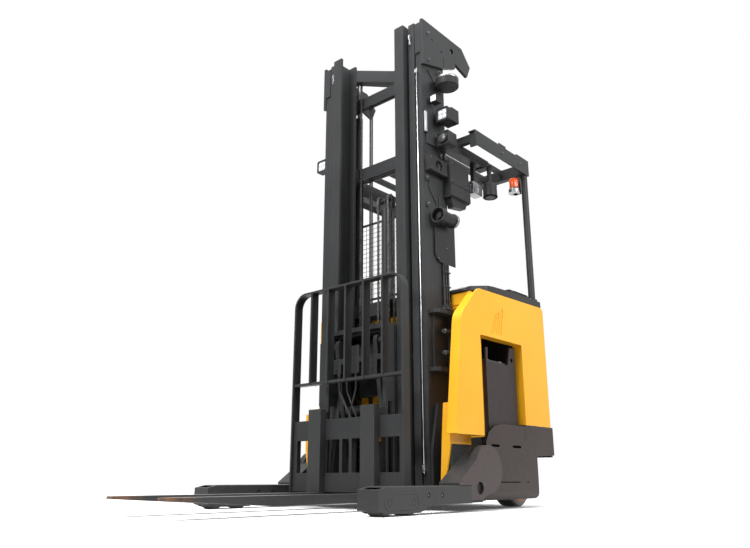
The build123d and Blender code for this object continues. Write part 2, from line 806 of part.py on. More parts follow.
# Hoses from the front plates of the reach head down to the tilt cylinder
port_xs = (-150.0, -104.0)
port_top_z = tilt_rod_z + 44
hose_start_x = (front_bar_x[0] + front_bar_x[1]) / 2
hose_start_zs = (reach_top_z - front_plates[0][3] - 24, reach_top_z - front_plates[1][3] - 24)
hose_rows = (
    # start y, hose radius, bend radius, start height, later points
    (-128.0, 8.0, 95.0, hose_start_zs[0],
     ((-102.0, -128.0, 660.0), (-104.0, -34.0, 500.0), (port_xs[1], 0.0, 345.0),
      (port_xs[1], 0.0, port_top_z + seat_gap))),
    (-66.0, 6.0, 75.0, hose_start_zs[1],
     ((-102.0, -66.0, 655.0), (-108.0, 4.0, 505.0), (port_xs[0], 6.0, 340.0),
      (port_xs[0], 0.0, 262.0), (port_xs[0], 0.0, port_top_z + seat_gap))),
    (6.0, 6.0, 75.0, hose_start_zs[1],
     ((-102.0, 6.0, 660.0), (-104.0, -56.0, 480.0), (-130.0, -64.0, 330.0),
      (-130.0, -64.0, head_plate_z[0] + cross_t + seat_gap))))


def reach_hoses():
    hoses = []
    for y, r, bend, top, later in hose_rows:
        route = [(hose_start_x, y, top), *later]
        path = FilletPolyline(*route, radius=bend)
        start = Plane(origin=route[0], z_dir=(0, 0, -1))
        hoses.append(sweep(start * Circle(r), path=path))
        hoses.append(rod_z(hose_start_x, y, r + 3, top + seat_gap, top + 24 - seat_gap))
        print("hose bend radius", bend, "diameter", 2 * r)
    return welded(*hoses)


keep("reach_hoses", reach_hoses())
bar_front_x = shank_front_x - fork_t
bar_rear_x = bar_front_x - bar_t
keep("reach_head", reach_head())
keep("tilt_cylinder", tilt_barrel())
keep("tilt_rod", rod_x(0, tilt_rod_z, tilt_rod_r, tilt_barrel_x[0] + 60, bar_rear_x - 1.5))


# Load backrest: evenly spaced flat bars under a rail with rounded corners
def backrest():
    rear = rest_front_x - rest_bar_deep
    pitch = (2 * rest_half_w - rest_bar_t) / (rest_bars - 1)
    arc_z = rest_top_z - rest_corner_r
    flat = rest_half_w - rest_corner_r
    rest = box(rear, rest_front_x, -flat, flat, rest_top_z - rest_bar_t, rest_top_z)
    for i in range(rest_bars):
        y = -rest_half_w + rest_bar_t / 2 + i * pitch
        end = i in (0, rest_bars - 1)
        low = lower_bar_z[0] if end else rest_mid_z
        high = arc_z if end else rest_top_z - rest_bar_t / 2
        rest += box(rear, rest_front_x, y - rest_bar_t / 2, y + rest_bar_t / 2, low, high)
    ring = rod_x(flat, arc_z, rest_corner_r, rear, rest_front_x)
    ring -= rod_x(flat, arc_z, rest_corner_r - rest_bar_t, rear - 1, rest_front_x + 1)
    ring &= box(rear, rest_front_x, flat, rest_half_w + 1, arc_z, rest_top_z + 1)
    rest += both_sides(ring)
    rest += box(rear + 10, rest_front_x - 6, -rest_half_w, rest_half_w, rest_mid_z,
                rest_mid_z + rest_mid_t)
    return rest


# Fork carriage: two bars, end plates, two upright plates and the tilt lugs
def fork_carriage():
    solids = []
    for span in (upper_bar_z, lower_bar_z):
        solids.append(box(bar_rear_x, bar_front_x, -bar_half_w, bar_half_w, *span))
    post_y = rest_half_w - rest_bar_t
    end = box(bar_rear_x, bar_front_x, bar_half_w, post_y, lower_bar_z[0], upper_bar_z[1])
    solids.append(both_sides(end))
    for y in tie_plate_ys:
        solids.append(box(bar_rear_x, bar_front_x, y - tie_plate_t / 2,
                          y + tie_plate_t / 2, lower_bar_z[1], upper_bar_z[0]))
    for y in (plate_in_y - lug_gap - lug_t, plate_in_y + plate_t + lug_gap):
        lug = box(bar_rear_x, bar_front_x - 2, y, y + lug_t, upper_bar_z[1], tilt_pin[1])
        lug += rod_y(*tilt_pin, tilt_boss_r, y, y + lug_t)
        lug -= rod_y(*tilt_pin, tilt_pin_r + pin_gap, y - 1, y + lug_t + 1)
        solids.append(both_sides(lug))
    return welded(*solids)


# Fork: tapered blade, shank and the hook over the upper bar
def fork():
    half = fork_w / 2
    heel_x = bar_front_x
    tip = fork_tip_w / 2
    plan = [(heel_x, -half), (heel_x, half), (fork_tip_x - 90, half), (fork_tip_x, tip),
            (fork_tip_x, -tip), (fork_tip_x - 90, -half)]
    blade = flat_plate([(x, fork_y + y) for x, y in plan], fork_top_z - fork_t, fork_top_z)
    low = fork_top_z - fork_t
    profile = [(heel_x, low), (heel_x, fork_top_z), (fork_tip_x, fork_top_z),
               (fork_tip_x, fork_top_z - fork_tip_t), (fork_taper_x, low)]
    blade &= side_plate(profile, fork_y - half, fork_y + half)
    shank = box(heel_x, shank_front_x, fork_y - half, fork_y + half, low, shank_top_z)
    hook_z = upper_bar_z[1] + seat_gap
    hook = box(heel_x - 16, heel_x + 1, fork_y - 46, fork_y - 16, hook_z, hook_z + 24)
    return blade + shank + hook


keep("backrest", backrest())
keep("fork_carriage", fork_carriage())
left_fork = fork()
keep("left_fork", left_fork)
keep("right_fork", other_side(left_fork))


# Dark side skirts with arched front, two slots and a thin slot near the foot
def side_skirt():
    y0, y1 = body_side_y - sheet_t, body_side_y
    top = skirt_top_z
    rear_top = panel_low_z - seat_gap
    front_x = -470.0
    outline = [(-640, top), (-560, 444), (-500, 405), (front_x, 350), (front_x, skirt_low_z),
               (skirt_step_x, skirt_low_z), (skirt_step_x, skirt_step_z),
               (rear_x, skirt_step_z + 11), (rear_x, rear_top), (-899, rear_top),
               (-899, top)]
    skirt = side_plate(outline, y0, y1)
    for x0, x1 in ((-607, -518), (-839, -744)):
        skirt -= obround(x0 + 7, x1 - 7, 338, 7, y0 - 1, y1 + 1)
    skirt -= box(-907, -552, y0 - 1, y1 + 1, 140, 146)
    return skirt


left_skirt = side_skirt()
keep("side_skirts", both_sides(left_skirt))


# Rounded lower sill under each skirt
sill_z = (49.0, 91.7)
sill_y = (592.0, 640.0)
sill_x = (-1020.0, root_hub[0] - seat_gap)


def lower_sill():
    sill = box(*sill_x, *sill_y, *sill_z)
    edge = sill.edges().filter_by(Axis.X).group_by(Axis.Z)[0].group_by(Axis.Y)[-1]
    return fillet(edge, 38)


keep("lower_sills", both_sides(lower_sill()))


# Yellow side panels: skin, deep front pillar, returns round the battery window
vent_slots = 5


def panel_outline():
    return [(pillar_foot_x, window_z[0]), pillar_knee, pillar_head,
            (pillar_head[0] - 25, panel_top_z[0]), (panel_rear_x, panel_top_z[1]),
            (panel_rear_x, panel_low_z), (window_x[0], panel_low_z),
            (window_x[0], window_z[1]), (window_x[1], window_z[1]),
            (window_x[1], window_z[0])]


def side_panel():
    y1 = body_side_y
    inner = y1 - return_deep
    radii = [4, 120, 30, 14, 30, 4, 4, 12, 12, 4]
    panel = side_plate(panel_outline(), y1 - sheet_t, y1, radii)
    pillar = [(pillar_foot_x, window_z[0]), pillar_knee, (pillar_head[0], 1200),
              (window_x[1], 1200), (window_x[1], window_z[0])]
    panel += side_plate(pillar, inner, y1 - sheet_t + 1, [4, 120, 14, 4, 4])
    rear = box(window_x[0] - return_t, window_x[0], inner, y1 - 1, panel_low_z,
               window_z[1] + return_t)
    top = box(window_x[0] - return_t, window_x[1] + 1, inner, y1 - 1, window_z[1],
              window_z[1] + return_t)
    panel += rear + top
    for i in range(vent_slots):
        low_x = -566 - 27 * i
        top_x = -622 - 22 * i
        slot = side_plate([(low_x, 978), (top_x, 1092 + 13 * i), (top_x - 9, 1088 + 13 * i),
                           (low_x - 9, 974)], y1 - 4, y1 + 1)
        panel -= slot
    return panel


left_panel = side_panel()
keep("left_side_panel", left_panel)
cut_y = body_side_y + 1
keep("right_side_panel", other_side(left_panel) - box(right_panel_front_x, 0, -cut_y, 0,
                                                      0, panel_top_z[1]))


# Yellow cowl between mast and battery, with a louvred face on each side of the mast
def front_cowl():
    inner = body_side_y - return_deep - seat_gap
    low = deck_z
    top = panel_top_z[0] - 4
    sheet = box(cowl_x - sheet_t, cowl_x, -inner, inner, low, top)
    wing = box(cowl_x, cowl_front_x, outer_rail_y[1] + 10, inner, brace_top_z + 4, top)
    wing -= box(cowl_x - 1, cowl_front_x - 10, outer_rail_y[1] + 20, inner + 1,
                brace_top_z, top - 10)
    for i in range(louvres):
        z = 1056 + louvre_pitch * i
        wing -= box(cowl_front_x - 11, cowl_front_x + 1, *louvre_y, z, z + 8)
    return sheet + both_sides(wing)


keep("front_cowl", front_cowl())


# Dark top cover, sloped to the front and cut out for the mast and the operator
def top_cover():
    side = [(cover_front_x, panel_top_z[0] + seat_gap), (cover_front_x, cover_top_z[0] - 12),
            (cover_front_x - 20, cover_top_z[0]), (-620, cover_top_z[0] + 14),
            (-880, cover_top_z[1]), (panel_rear_x, cover_top_z[1]), (panel_rear_x, panel_top_z[1] + seat_gap),
            (pillar_head[0] - 25, panel_top_z[0] + seat_gap)]
    slab = side_plate(side, -body_side_y, body_side_y)
    edge = body_side_y
    plan = [(cover_front_x, -560), (cover_front_x, 560), (-560, edge), (panel_rear_x, edge),
            (panel_rear_x, -edge), (-560, -edge)]
    slab &= flat_plate(plan, 1200, 1300, [60, 60, 40, 30, 30, 40])
    mast_half = outer_rail_y[1] + 8
    slab -= box(cowl_x + 1, cover_front_x + 10, -mast_half, mast_half, 1200, 1300)
    slab -= box(panel_rear_x - 1, cab_front_x - 56, -590, cab_wall_y - 8, 1200, 1300)
    return slab


keep("top_cover", top_cover())


# Battery: plain block whose side walls rise to lifting ears
def battery():
    body = box(*battery_x, -battery_half_w, battery_half_w, *battery_z)
    x0, x1 = battery_x
    low = battery_z[1] - 1
    ear = [(x0, low), (x0, battery_ear_z), (x0 + 55, battery_ear_z), (x0 + 85, low)]
    front_ear = [(x1 - 16, low), (x1 - 24, battery_ear_z - 30), (x1, battery_ear_z - 30),
                 (x1, low)]
    y0 = battery_half_w - 12
    rear_ear = side_plate(ear, y0, battery_half_w)
    rear_ear -= rod_y(x0 + 38, battery_z[1] + 35, 14, y0 - 1, battery_half_w + 1)
    return body + both_sides(rear_ear) + both_sides(side_plate(front_ear, y0, battery_half_w))


keep("battery", battery())
keep("drive_motor", rod_z(drive_x, drive_y, 95, deck_z + 14, 760))


# Cab shell: wall before the operator, drive cover at the left, deck over the wheel
def cab_shell():
    inner = body_side_y - return_deep - seat_gap
    low = deck_z
    top = panel_top_z[0]
    rear = panel_rear_x
    wall = box(cab_front_x, cab_front_x + sheet_t, -inner, inner, low, top)
    side = box(rear, cab_front_x, cab_wall_y, cab_wall_y + sheet_t, low, top)
    back = box(rear, rear + sheet_t, cab_wall_y + sheet_t, inner, low, top)
    deck = box(rear + sheet_t, cab_front_x, cab_wall_y + sheet_t, inner, low, low + 13.5)
    right = box(rear, cab_front_x, -inner - 14, -inner, floor_z + 1, top)
    return welded(wall, side, back, deck, right)


keep("cab_shell", cab_shell())


# Rear bumper behind the drive wheel, and the floor with its step edge
def rear_bumper():
    y1 = body_side_y - sheet_t - seat_gap
    front = panel_rear_x - seat_gap
    bumper = box(rear_x, front, cab_wall_y, y1, skirt_step_z, panel_low_z)
    sill = box(rear_x, front, -y1, cab_wall_y, floor_z - 70, floor_z)
    return bumper + sill + box(rear_x, front, cab_wall_y - 20, cab_wall_y, floor_z - 1,
                               panel_low_z)


keep("rear_bumper", rear_bumper())


def operator_floor():
    y1 = body_side_y - sheet_t - seat_gap
    slab = box(panel_rear_x, -895, -y1, 240, floor_z - 20, floor_z)
    return slab - rod_z(drive_x, drive_y, 192, floor_z - 30, floor_z + 10)


keep("operator_floor", operator_floor())
keep("cab_cushion", box(cab_front_x - 46, cab_front_x - seat_gap, -545, 40, 820, 1130))


# Console on the drive cover, with steering tiller, and control handle at the front
console_h = 56.0
console_top_z = cover_top_z[1] + console_h


def console():
    base = cover_top_z[1] + seat_gap
    outline = [(-1190, base), (-1190, console_top_z - 20), (-1170, console_top_z),
               (-985, console_top_z), (-950, base)]
    return side_plate(outline, 110, 560, [3, 10, 16, 30, 3])


def tiller():
    base = console_top_z + seat_gap
    hub = rod_z(-1070, 300, 55, base, base + 26)
    arm = box(-1083, -1057, 200, 300, base + 4, base + 22)
    knob = rod_z(-1070, 200, 22, base + 4, base + 62)
    return hub + arm + knob


def control_handle():
    base = cover_top_z[1] + seat_gap
    post = rod_z(-955, -120, 20, base, base + 60)
    grip = rod_y(-955, base + 70, 22, -190, -60)
    return post + grip


keep("console", console())
keep("hand_controls", welded(tiller(), control_handle()))


# Overhead guard: side rails with raised tabs, bars along the truck, arms to the mast
def guard_rail():
    low, top = guard_z
    rear, front = guard_x
    inner = guard_out_y - guard_rail_w
    wall_y = guard_out_y - guard_wall
    outline = [(front, top), (front - 14, low), (rear, low), (rear, top)]
    wall = side_plate(outline, wall_y, guard_out_y)
    for x0, x1 in guard_tabs:
        wall += box(x0, x1, wall_y, guard_out_y, top - 1, top + guard_tab_h)
    under = top - guard_wall
    cover = box(rear, front, inner, wall_y, under, top)
    head = box(rear, post_x + post_r + 14, inner, wall_y, low, under)
    nose = box(front - 30, front - 14, inner, wall_y, low, under)
    return welded(wall, cover, head, nose)


def guard_arm():
    y0 = outer_rail_y[1] + seat_gap
    mast_rear = outer_back_x - seat_gap
    x0 = -862.0
    beam = box(x0, mast_rear, y0, y0 + guard_arm_out, *guard_arm_z)
    out = y0 + guard_arm_flange
    plan = [(mast_rear, y0), (mast_rear + 207, y0), (mast_rear + 207, y0 + 10),
            (mast_rear + 41, out), (mast_rear, out)]
    beam += box(mast_rear - 1, mast_rear + 41, out - 1, y0 + guard_arm_out, *guard_arm_z)
    nose = flat_plate(plan, *guard_arm_z)
    return beam, nose


def overhead_guard():
    rear, front = guard_x
    low, top = guard_z
    inner = guard_out_y - guard_rail_w
    bar_rear = rear + guard_cross
    cross_x1 = front - guard_front_gap
    cross_x0 = cross_x1 - guard_cross
    rail = guard_rail()
    solids = [rail, other_side(rail)]
    solids.append(box(rear, bar_rear, -inner, inner, low + 10, top - 10))
    arm_top = guard_arm_z[1]
    solids.append(box(cross_x0, cross_x1, -inner, inner, arm_top, top - 10))
    pitch = 2 * inner / (guard_bars + 1)
    for i in range(guard_bars):
        y = -inner + pitch * (i + 1)
        solids.append(box(bar_rear, cross_x0, y - guard_bar_t / 2, y + guard_bar_t / 2,
                          low + 42, top - 12))
    beam, nose = guard_arm()
    solids += [beam, other_side(beam), nose, other_side(nose)]
    return welded(*solids)


def guard_posts():
    base = cover_top_z[1]
    foot = rod_z(post_x, post_y, 34, base + seat_gap, base + 12)
    post = rod_z(post_x, post_y, post_r, base + 11, guard_z[0] - seat_gap)
    return both_sides(foot + post)


keep("overhead_guard", overhead_guard())
keep("guard_posts", guard_posts())


# Drive unit: turntable, gearbox leg beside the wheel, and hub
def drive_unit():
    unit = rod_z(drive_x, drive_y, 120, 330, deck_z - seat_gap)
    leg_y = drive_y + drive_w / 2 + 8
    unit += box(drive_x - 60, drive_x + 60, leg_y, leg_y + 40, drive_r, 331)
    unit += rod_y(drive_x, drive_r, 60, leg_y, leg_y + 40)
    return unit + rod_y(drive_x, drive_r, hub_r, drive_y - drive_w / 2, leg_y + 1)


def drive_wheel():
    y0, y1 = drive_y - drive_w / 2, drive_y + drive_w / 2
    wheel = rod_y(drive_x, drive_r, drive_r, y0, y1)
    wheel = chamfer(wheel.edges().filter_by(GeomType.CIRCLE), 10)
    return wheel - rod_y(drive_x, drive_r, hub_r + pin_gap, y0 - 1, y1 + 1)


keep("drive_unit", drive_unit())
keep("drive_wheel", drive_wheel())


# Caster beside the drive unit
caster_side = 5.0
caster_cheek = 12.0


def caster_fork():
    swivel_x = caster_x + caster_trail
    half = caster_w / 2 + caster_side
    out = half + caster_cheek
    top = floor_z - 20 - seat_gap
    body = rod_z(swivel_x, caster_y, 50, top - 35, top)
    body += box(caster_x - 40, swivel_x + 50, caster_y - out, caster_y + out, 190, 206)
    cheek = [(swivel_x + 50, 204), (caster_x - 40, 204), (caster_x - 22, 66),
             (caster_x + 22, 66)]
    for y in (caster_y - out, caster_y + half):
        body += side_plate(cheek, y, y + caster_cheek)
    return body + rod_y(caster_x, caster_r, caster_axle_r, caster_y - out, caster_y + out)


def caster_wheel():
    y0, y1 = caster_y - caster_w / 2, caster_y + caster_w / 2
    wheel = rod_y(caster_x, caster_r, caster_r, y0, y1)
    wheel = chamfer(wheel.edges().filter_by(GeomType.CIRCLE), 5)
    return wheel - rod_y(caster_x, caster_r, caster_axle_r + pin_gap, y0 - 1, y1 + 1)


keep("caster_fork", caster_fork())
keep("caster_wheel", caster_wheel())


# Brackets that hold the mast to the body, each with two flanges and two bolts
rail_face_y = outer_rail_y[1] + seat_gap


def left_mount():
    x0, x1 = outer_front_x - 20, outer_back_x + 25
    low, top = mount_z
    y1 = rail_face_y + 62
    web = box(x1, x1 + 24, rail_face_y, y1, low + mount_t, top - mount_t)
    plate = box(x1 + 24, x0 - 30, rail_face_y, rail_face_y + 12, low + mount_t,
                top - mount_t)
    solids = [web, plate]
    for z in (low, top - mount_t):
        flange = [(x1, rail_face_y), (x0, rail_face_y), (x0, y1 - 22), (x0 - 22, y1),
                  (x1, y1)]
        solids.append(flat_plate(flange, z, z + mount_t))
    for z in (low + 112, top - 119):
        solids.append(rod_x(rail_face_y + 38, z, 13, x1 + 24, x1 + 38))
    return welded(*solids, cable_clamp())


# The right mount is lower, with two posts that carry the hose guides
def right_mount():
    low, top = right_mount_z
    x1 = outer_back_x + 25
    y1 = rail_face_y + 62
    solids = [box(x1, x1 + 24, rail_face_y, y1, low, top)]
    for z in (low + 75, top - mount_t):
        solids.append(box(x1 + 24, right_post_xs[1] + 16, rail_face_y, y1 - 18, z,
                          z + mount_t))
    for x in right_post_xs:
        solids.append(box(x, x + 16, y1 - 18, y1, low, top))
    return welded(*[other_side(solid) for solid in solids])


def mast_mounts():
    return welded(left_mount(), right_mount())


# Equipment boxes on the left side of the mast
def on_mast(drop):
    return mast_top_z - drop


def control_box():
    top = on_mast(control_box_drop - 125)
    low = on_mast(control_box_drop + 125)
    y0, y1 = rail_face_y, rail_face_y + 55
    case = box(-638, -432, y0, y1, low, top)
    lid = box(-630, -438, y1, y1 + 4, low + 92, top - 6)
    cuff = box(-638, -432, y1, y1 + 9, low + 6, low + 84)
    wedge = side_plate([(-620, low), (-450, low), (-470, low - 62), (-600, low - 40)],
                       y0 + 4, y1 - 8)
    return welded(case, lid, cuff, wedge)


def fan_box():
    mid = on_mast(fan_box_drop)
    y1 = rail_face_y + 42
    case = box(-425, -250, rail_face_y, y1, mid - 48, mid + 48)
    return case - rod_y(-338, mid, 34, y1 - 14, y1 + 1)


def horn():
    z = on_mast(horn_drop)
    y = rail_face_y + horn_r + 10
    mouth = rod_x(y, z, horn_r, -330, -286)
    mouth -= rod_x(y, z, horn_r - 6, -322, -285)
    cone = rod_x(y, z, 18, -323, -300)
    body = rod_x(y, z, horn_r - 9, -430, -329)
    cap = rod_x(y, z, horn_r - 4, -452, -429)
    bracket = box(-390, -360, rail_face_y, y, z + 8, z + 20)
    return mouth + cone + body + cap + bracket


def junction_plate():
    top = on_mast(junction_drop - 148)
    low = on_mast(junction_drop + 142)
    y0 = rail_face_y
    back = box(-500, -330, y0, y0 + 7, low + 20, top - 92)
    outline = [(-520, low), (-520, top), (-320, top - 88), (-320, low + 40), (-360, low)]
    plate = back + side_plate(outline, y0 + 6, y0 + 13)
    for x, _ in cable_places:
        plate += rod_z(x, y0 + 8.5, 8, low - 24, low + 4)
    return plate


def square_lamp(front_x, y, z, deep):
    half = lamp_size / 2
    case = box(front_x - deep, front_x, y - half, y + half, z - half, z + half)
    case = fillet(case.edges().filter_by(Axis.X), 14)
    face = box(front_x - 5, front_x + 1, y - half + 9, y + half - 9, z - half + 9,
               z + half - 9)
    return case - face


def side_lamps():
    y = rail_face_y + 70
    led_z = on_mast(led_lamp_drop)
    led = square_lamp(-345, y, led_z, 40)
    hood = box(-462, -385, y - 40, y + 46, led_z - 40, led_z + 50)
    led += hood + box(-440, -400, rail_face_y, y - 39, led_z - 18, led_z + 18)
    cam_z = on_mast(camera_lamp_drop)
    nose_x = outer_back_x - seat_gap + 41
    cam = square_lamp(-345, y + 2, cam_z, -345 - nose_x - seat_gap)
    cam += rod_x(y + 2, cam_z, 33, -351, -336)
    small_z = on_mast(small_lamp_drop)
    small = box(-340, -290, rail_face_y + 22, rail_face_y + 72, small_z - 25, small_z + 25)
    small += box(-325, -305, rail_face_y, rail_face_y + 23, small_z - 8, small_z + 8)
    far_z = on_mast(far_lamp_drop)
    far = other_side(square_lamp(-254, rail_face_y + 56, far_z, 48))
    far += other_side(box(-300, -262, rail_face_y, rail_face_y + 12, far_z - 15, far_z + 15))
    return welded(led, cam, small, far)


def sensor_drum():
    z = on_mast(drum_drop)
    disc = rod_z(-389, rail_face_y + drum_r + 12, drum_r, z - drum_h, z)
    disc = fillet(disc.edges().filter_by(GeomType.CIRCLE).group_by(Axis.Z)[0], 6)
    arm = box(-430, -374, rail_face_y, rail_face_y + 52, z - 1, z + 14)
    return disc + arm


# Draw wire in front of the left rail, with its lower bracket and upper eye
def draw_wire():
    x, y = wire_place
    front = outer_front_x + seat_gap
    rail_y = outer_rail_y[0] + 1
    top = mast_top_z - 334 - 14
    wire = rod_z(x, y, wire_r, wire_low_z - 30, top)
    for z, h in ((wire_low_z, 40.0), (top - 24, 24.0)):
        wire += box(front, x + 9, rail_y, y + 12, z - h / 2, z + h / 2)
    return wire


# Cables from the junction plate down to their clamp above the mast mount: x at each end
cable_places = ((-440.0, -434.0), (-419.0, -413.0), (-398.0, -392.0))


def cable_loom():
    top = on_mast(junction_drop + 142) - 24 - seat_gap
    low = mount_z[1] + clamp_h + seat_gap
    y = rail_face_y + 8.5
    loom = []
    for x, low_x in cable_places:
        route = [(x, y, top), (x, y, top - 75), (low_x, y + 8, top - 145), (low_x, y + 8, low)]
        path = FilletPolyline(*route, radius=cable_bend)
        start = Plane(origin=route[0], z_dir=(0, 0, -1))
        loom.append(sweep(start * Circle(cable_r), path=path))
    print("cable bend radius", cable_bend, "diameter", 2 * cable_r)
    return welded(*loom)


def cable_clamp():
    low = mount_z[1]
    y1 = rail_face_y + 34
    block = box(-444, -378, rail_face_y, y1, low, low + clamp_h)
    for x in (-428, -394):
        block += rod_y(x, low + clamp_h / 2, 7, y1 - 1, y1 + 6)
    return block


# Beacon on its bracket under the left rear of the guard
beacon_place = (-1098.0, 550.0)
beacon_r = 31.0


def beacon_bracket():
    x, y = beacon_place
    low = guard_z[0] - 128
    under = guard_z[1] - guard_wall - seat_gap
    base = rod_z(x, y, beacon_r + 9, low, low + 16)
    base += rod_z(x, y, beacon_r + 4, low + 15, low + 38)
    stay = box(x + 36, x + 44, y - 20, guard_out_y - guard_wall - 1, low, under)
    foot = box(x, x + 37, y - 20, y + 20, low, low + 12)
    return base + foot + stay


def beacon():
    x, y = beacon_place
    low = guard_z[0] - 90
    lens = rod_z(x, y, beacon_r, low + seat_gap, low + 74)
    return fillet(lens.edges().filter_by(GeomType.CIRCLE).group_by(Axis.Z)[-1], 10)


# Units that hang under the guard's left arm
unit_dome = (-815.0, 532.0)


def guard_units():
    y0 = rail_face_y + 18
    low = guard_arm_z[0] - seat_gap
    unit = box(-765, -660, y0, y0 + 56, low - 224, low - 142)
    unit += box(-725, -700, y0 + 10, y0 + 40, low - 143, low)
    x, y = unit_dome
    dome = rod_z(x, y, 46, low - 222, low - 128)
    dome = fillet(dome.edges().filter_by(GeomType.CIRCLE).group_by(Axis.Z)[0], 26)
    dome += rod_z(x, y, 15, low - 129, low - 4)
    dome += box(x - 30, x + 30, y0 - 6, y + 26, low - 8, low)
    return welded(unit, dome)


# Thin wires clipped to the rail's side: each a route of x and z
wire_bend = 34.0
lamp_wire_r = 3.0
lamp_wire_routes = (
    ((-292.0, 342.0), (-345.0, 385.0), (-404.0, 460.0), (-412.0, 545.0), (-341.0, 568.0)),
    ((-286.0, 1063.5), (-286.0, 1170.0), (-352.0, 1250.0), (-364.0, 1334.5)),
    ((-428.0, 1064.0), (-424.0, 1130.0), (-380.0, 1200.0), (-384.0, 1334.5)))


def lamp_wires():
    y = rail_face_y + lamp_wire_r + seat_gap
    wires = []
    for route in lamp_wire_routes:
        points = [(x, y, on_mast(drop)) for x, drop in route]
        path = FilletPolyline(*points, radius=wire_bend)
        along_path = Vector(*points[1]) - Vector(*points[0])
        start = Plane(origin=points[0], z_dir=along_path)
        wires.append(sweep(start * Circle(lamp_wire_r), path=path))
    print("wire bend radius", wire_bend, "diameter", 2 * lamp_wire_r)
    return welded(*wires)


keep("mast_mounts", mast_mounts())
keep("lamp_wires", lamp_wires())
keep("mast_boxes", welded(control_box(), fan_box(), junction_plate()))
keep("horn", horn())
keep("side_lamps", side_lamps())
keep("sensor_drum", sensor_drum())
keep("draw_wire", draw_wire())
keep("cable_loom", cable_loom())
keep("beacon", beacon())
keep("guard_fittings", welded(guard_units(), beacon_bracket()))

for name, shape in NODES.items():
    export_step(shape, "parts/" + name + ".step")
print(len(NODES), "nodes written")
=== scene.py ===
# %% [markdown]
# # Electric reach truck
# The truck arrives as a fixed frame of solids that already has every real size, joint and
# opening. This lesson dresses it: first the camera and a plain studio, then the finishes,
# and then the pieces that a workshop would fit last, such as lamp faces, bolts, chain
# links, the wire screen, the padded back rest and the things on the driver's console.

# %% Load the frame
import math

import bmesh
import bpy
from mathutils import Matrix, Vector


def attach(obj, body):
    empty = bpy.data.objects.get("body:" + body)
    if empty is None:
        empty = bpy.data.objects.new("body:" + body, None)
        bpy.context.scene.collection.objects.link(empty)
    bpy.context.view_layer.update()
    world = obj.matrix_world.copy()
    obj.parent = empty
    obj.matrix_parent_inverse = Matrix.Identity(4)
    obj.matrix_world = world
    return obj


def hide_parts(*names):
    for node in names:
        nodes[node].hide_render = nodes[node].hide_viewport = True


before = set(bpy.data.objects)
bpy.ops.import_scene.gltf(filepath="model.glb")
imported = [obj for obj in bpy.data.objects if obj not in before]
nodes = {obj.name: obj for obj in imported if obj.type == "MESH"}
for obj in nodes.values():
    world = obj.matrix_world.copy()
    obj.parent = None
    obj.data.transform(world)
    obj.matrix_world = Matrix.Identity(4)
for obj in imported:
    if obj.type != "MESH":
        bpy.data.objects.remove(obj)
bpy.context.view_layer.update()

# %% [markdown]
# ## Camera
# The truck was photographed from its front left, close to the floor and with the lens
# tilted up, which makes the mast loom. Eye point and angles were solved from straight
# edges, so they are plain numbers here. A level horizon needs no roll.

# %% Camera
EYE = (2.82885, 2.7692, 0.160)
PITCH_UP = 16.51
HEADING = 131.74
FOCAL_LENGTH = 33.2
SENSOR_WIDTH = 36.0

camera_data = bpy.data.cameras.new("camera")
camera_data.lens = FOCAL_LENGTH
camera_data.sensor_width = SENSOR_WIDTH
camera_data.sensor_fit = "HORIZONTAL"
camera_data.clip_end = 100.0
camera = bpy.data.objects.new("camera", camera_data)
camera.location = EYE
camera.rotation_euler = (math.radians(90.0 + PITCH_UP), 0.0, math.radians(HEADING))
bpy.context.scene.collection.objects.link(camera)
bpy.context.scene.camera = camera
bpy.context.scene.view_settings.view_transform = "Standard"
print("camera at", EYE)


# %% [markdown]
# ## Studio
# A product shot like this one stands on a seamless white sweep. The world sends even, soft
# light, and shows itself to camera, glossy and see-through rays as plain white, so that
# paint and glass reflect a clean studio. The floor takes the contact shadow, and a glow
# that only those same rays see lifts it to white, more so far out where less lamp light
# reaches it. For all other rays the floor is a mid grey, so that it doesn't light the
# truck from below and its underside stays as dark as in the photograph.

# %% Node helpers
def set_inputs(node, **inputs):
    for key, value in inputs.items():
        node.inputs[key.replace("_", " ")].default_value = value
    return node


def node_of(tree, kind, **inputs):
    return set_inputs(tree.nodes.new("ShaderNode" + kind), **inputs)


def new_material(name, **inputs):
    mat = bpy.data.materials.new(name)
    mat.use_nodes = True
    bsdf = set_inputs(mat.node_tree.nodes["Principled BSDF"], **inputs)
    return mat, mat.node_tree, bsdf


def worked_out(tree, kind, operation, *values):
    node = node_of(tree, kind)
    node.operation = operation
    for value, socket in zip(values, node.inputs):
        if isinstance(value, bpy.types.NodeSocket):
            tree.links.new(value, socket)
        else:
            socket.default_value = value
    return node


def object_place(tree, axis=None):
    where = node_of(tree, "TexCoord").outputs["Object"]
    if axis is None:
        return where
    split = node_of(tree, "SeparateXYZ")
    tree.links.new(where, split.inputs[0])
    return split.outputs[axis]


def seen_directly(tree):
    path = node_of(tree, "LightPath")
    total = path.outputs["Is Camera Ray"]
    for ray in ("Is Glossy Ray", "Is Transmission Ray"):
        add = worked_out(tree, "Math", "ADD", total, path.outputs[ray])
        add.use_clamp = True
        total = add.outputs[0]
    return total


def show_either(tree, hidden, seen, surface):
    mix = node_of(tree, "MixShader")
    for value, socket in zip((seen_directly(tree), hidden, seen), mix.inputs):
        tree.links.new(value, socket)
    tree.links.new(mix.outputs[0], surface)


print("node helpers ready")

# %% World
WORLD_LIGHT = 0.15


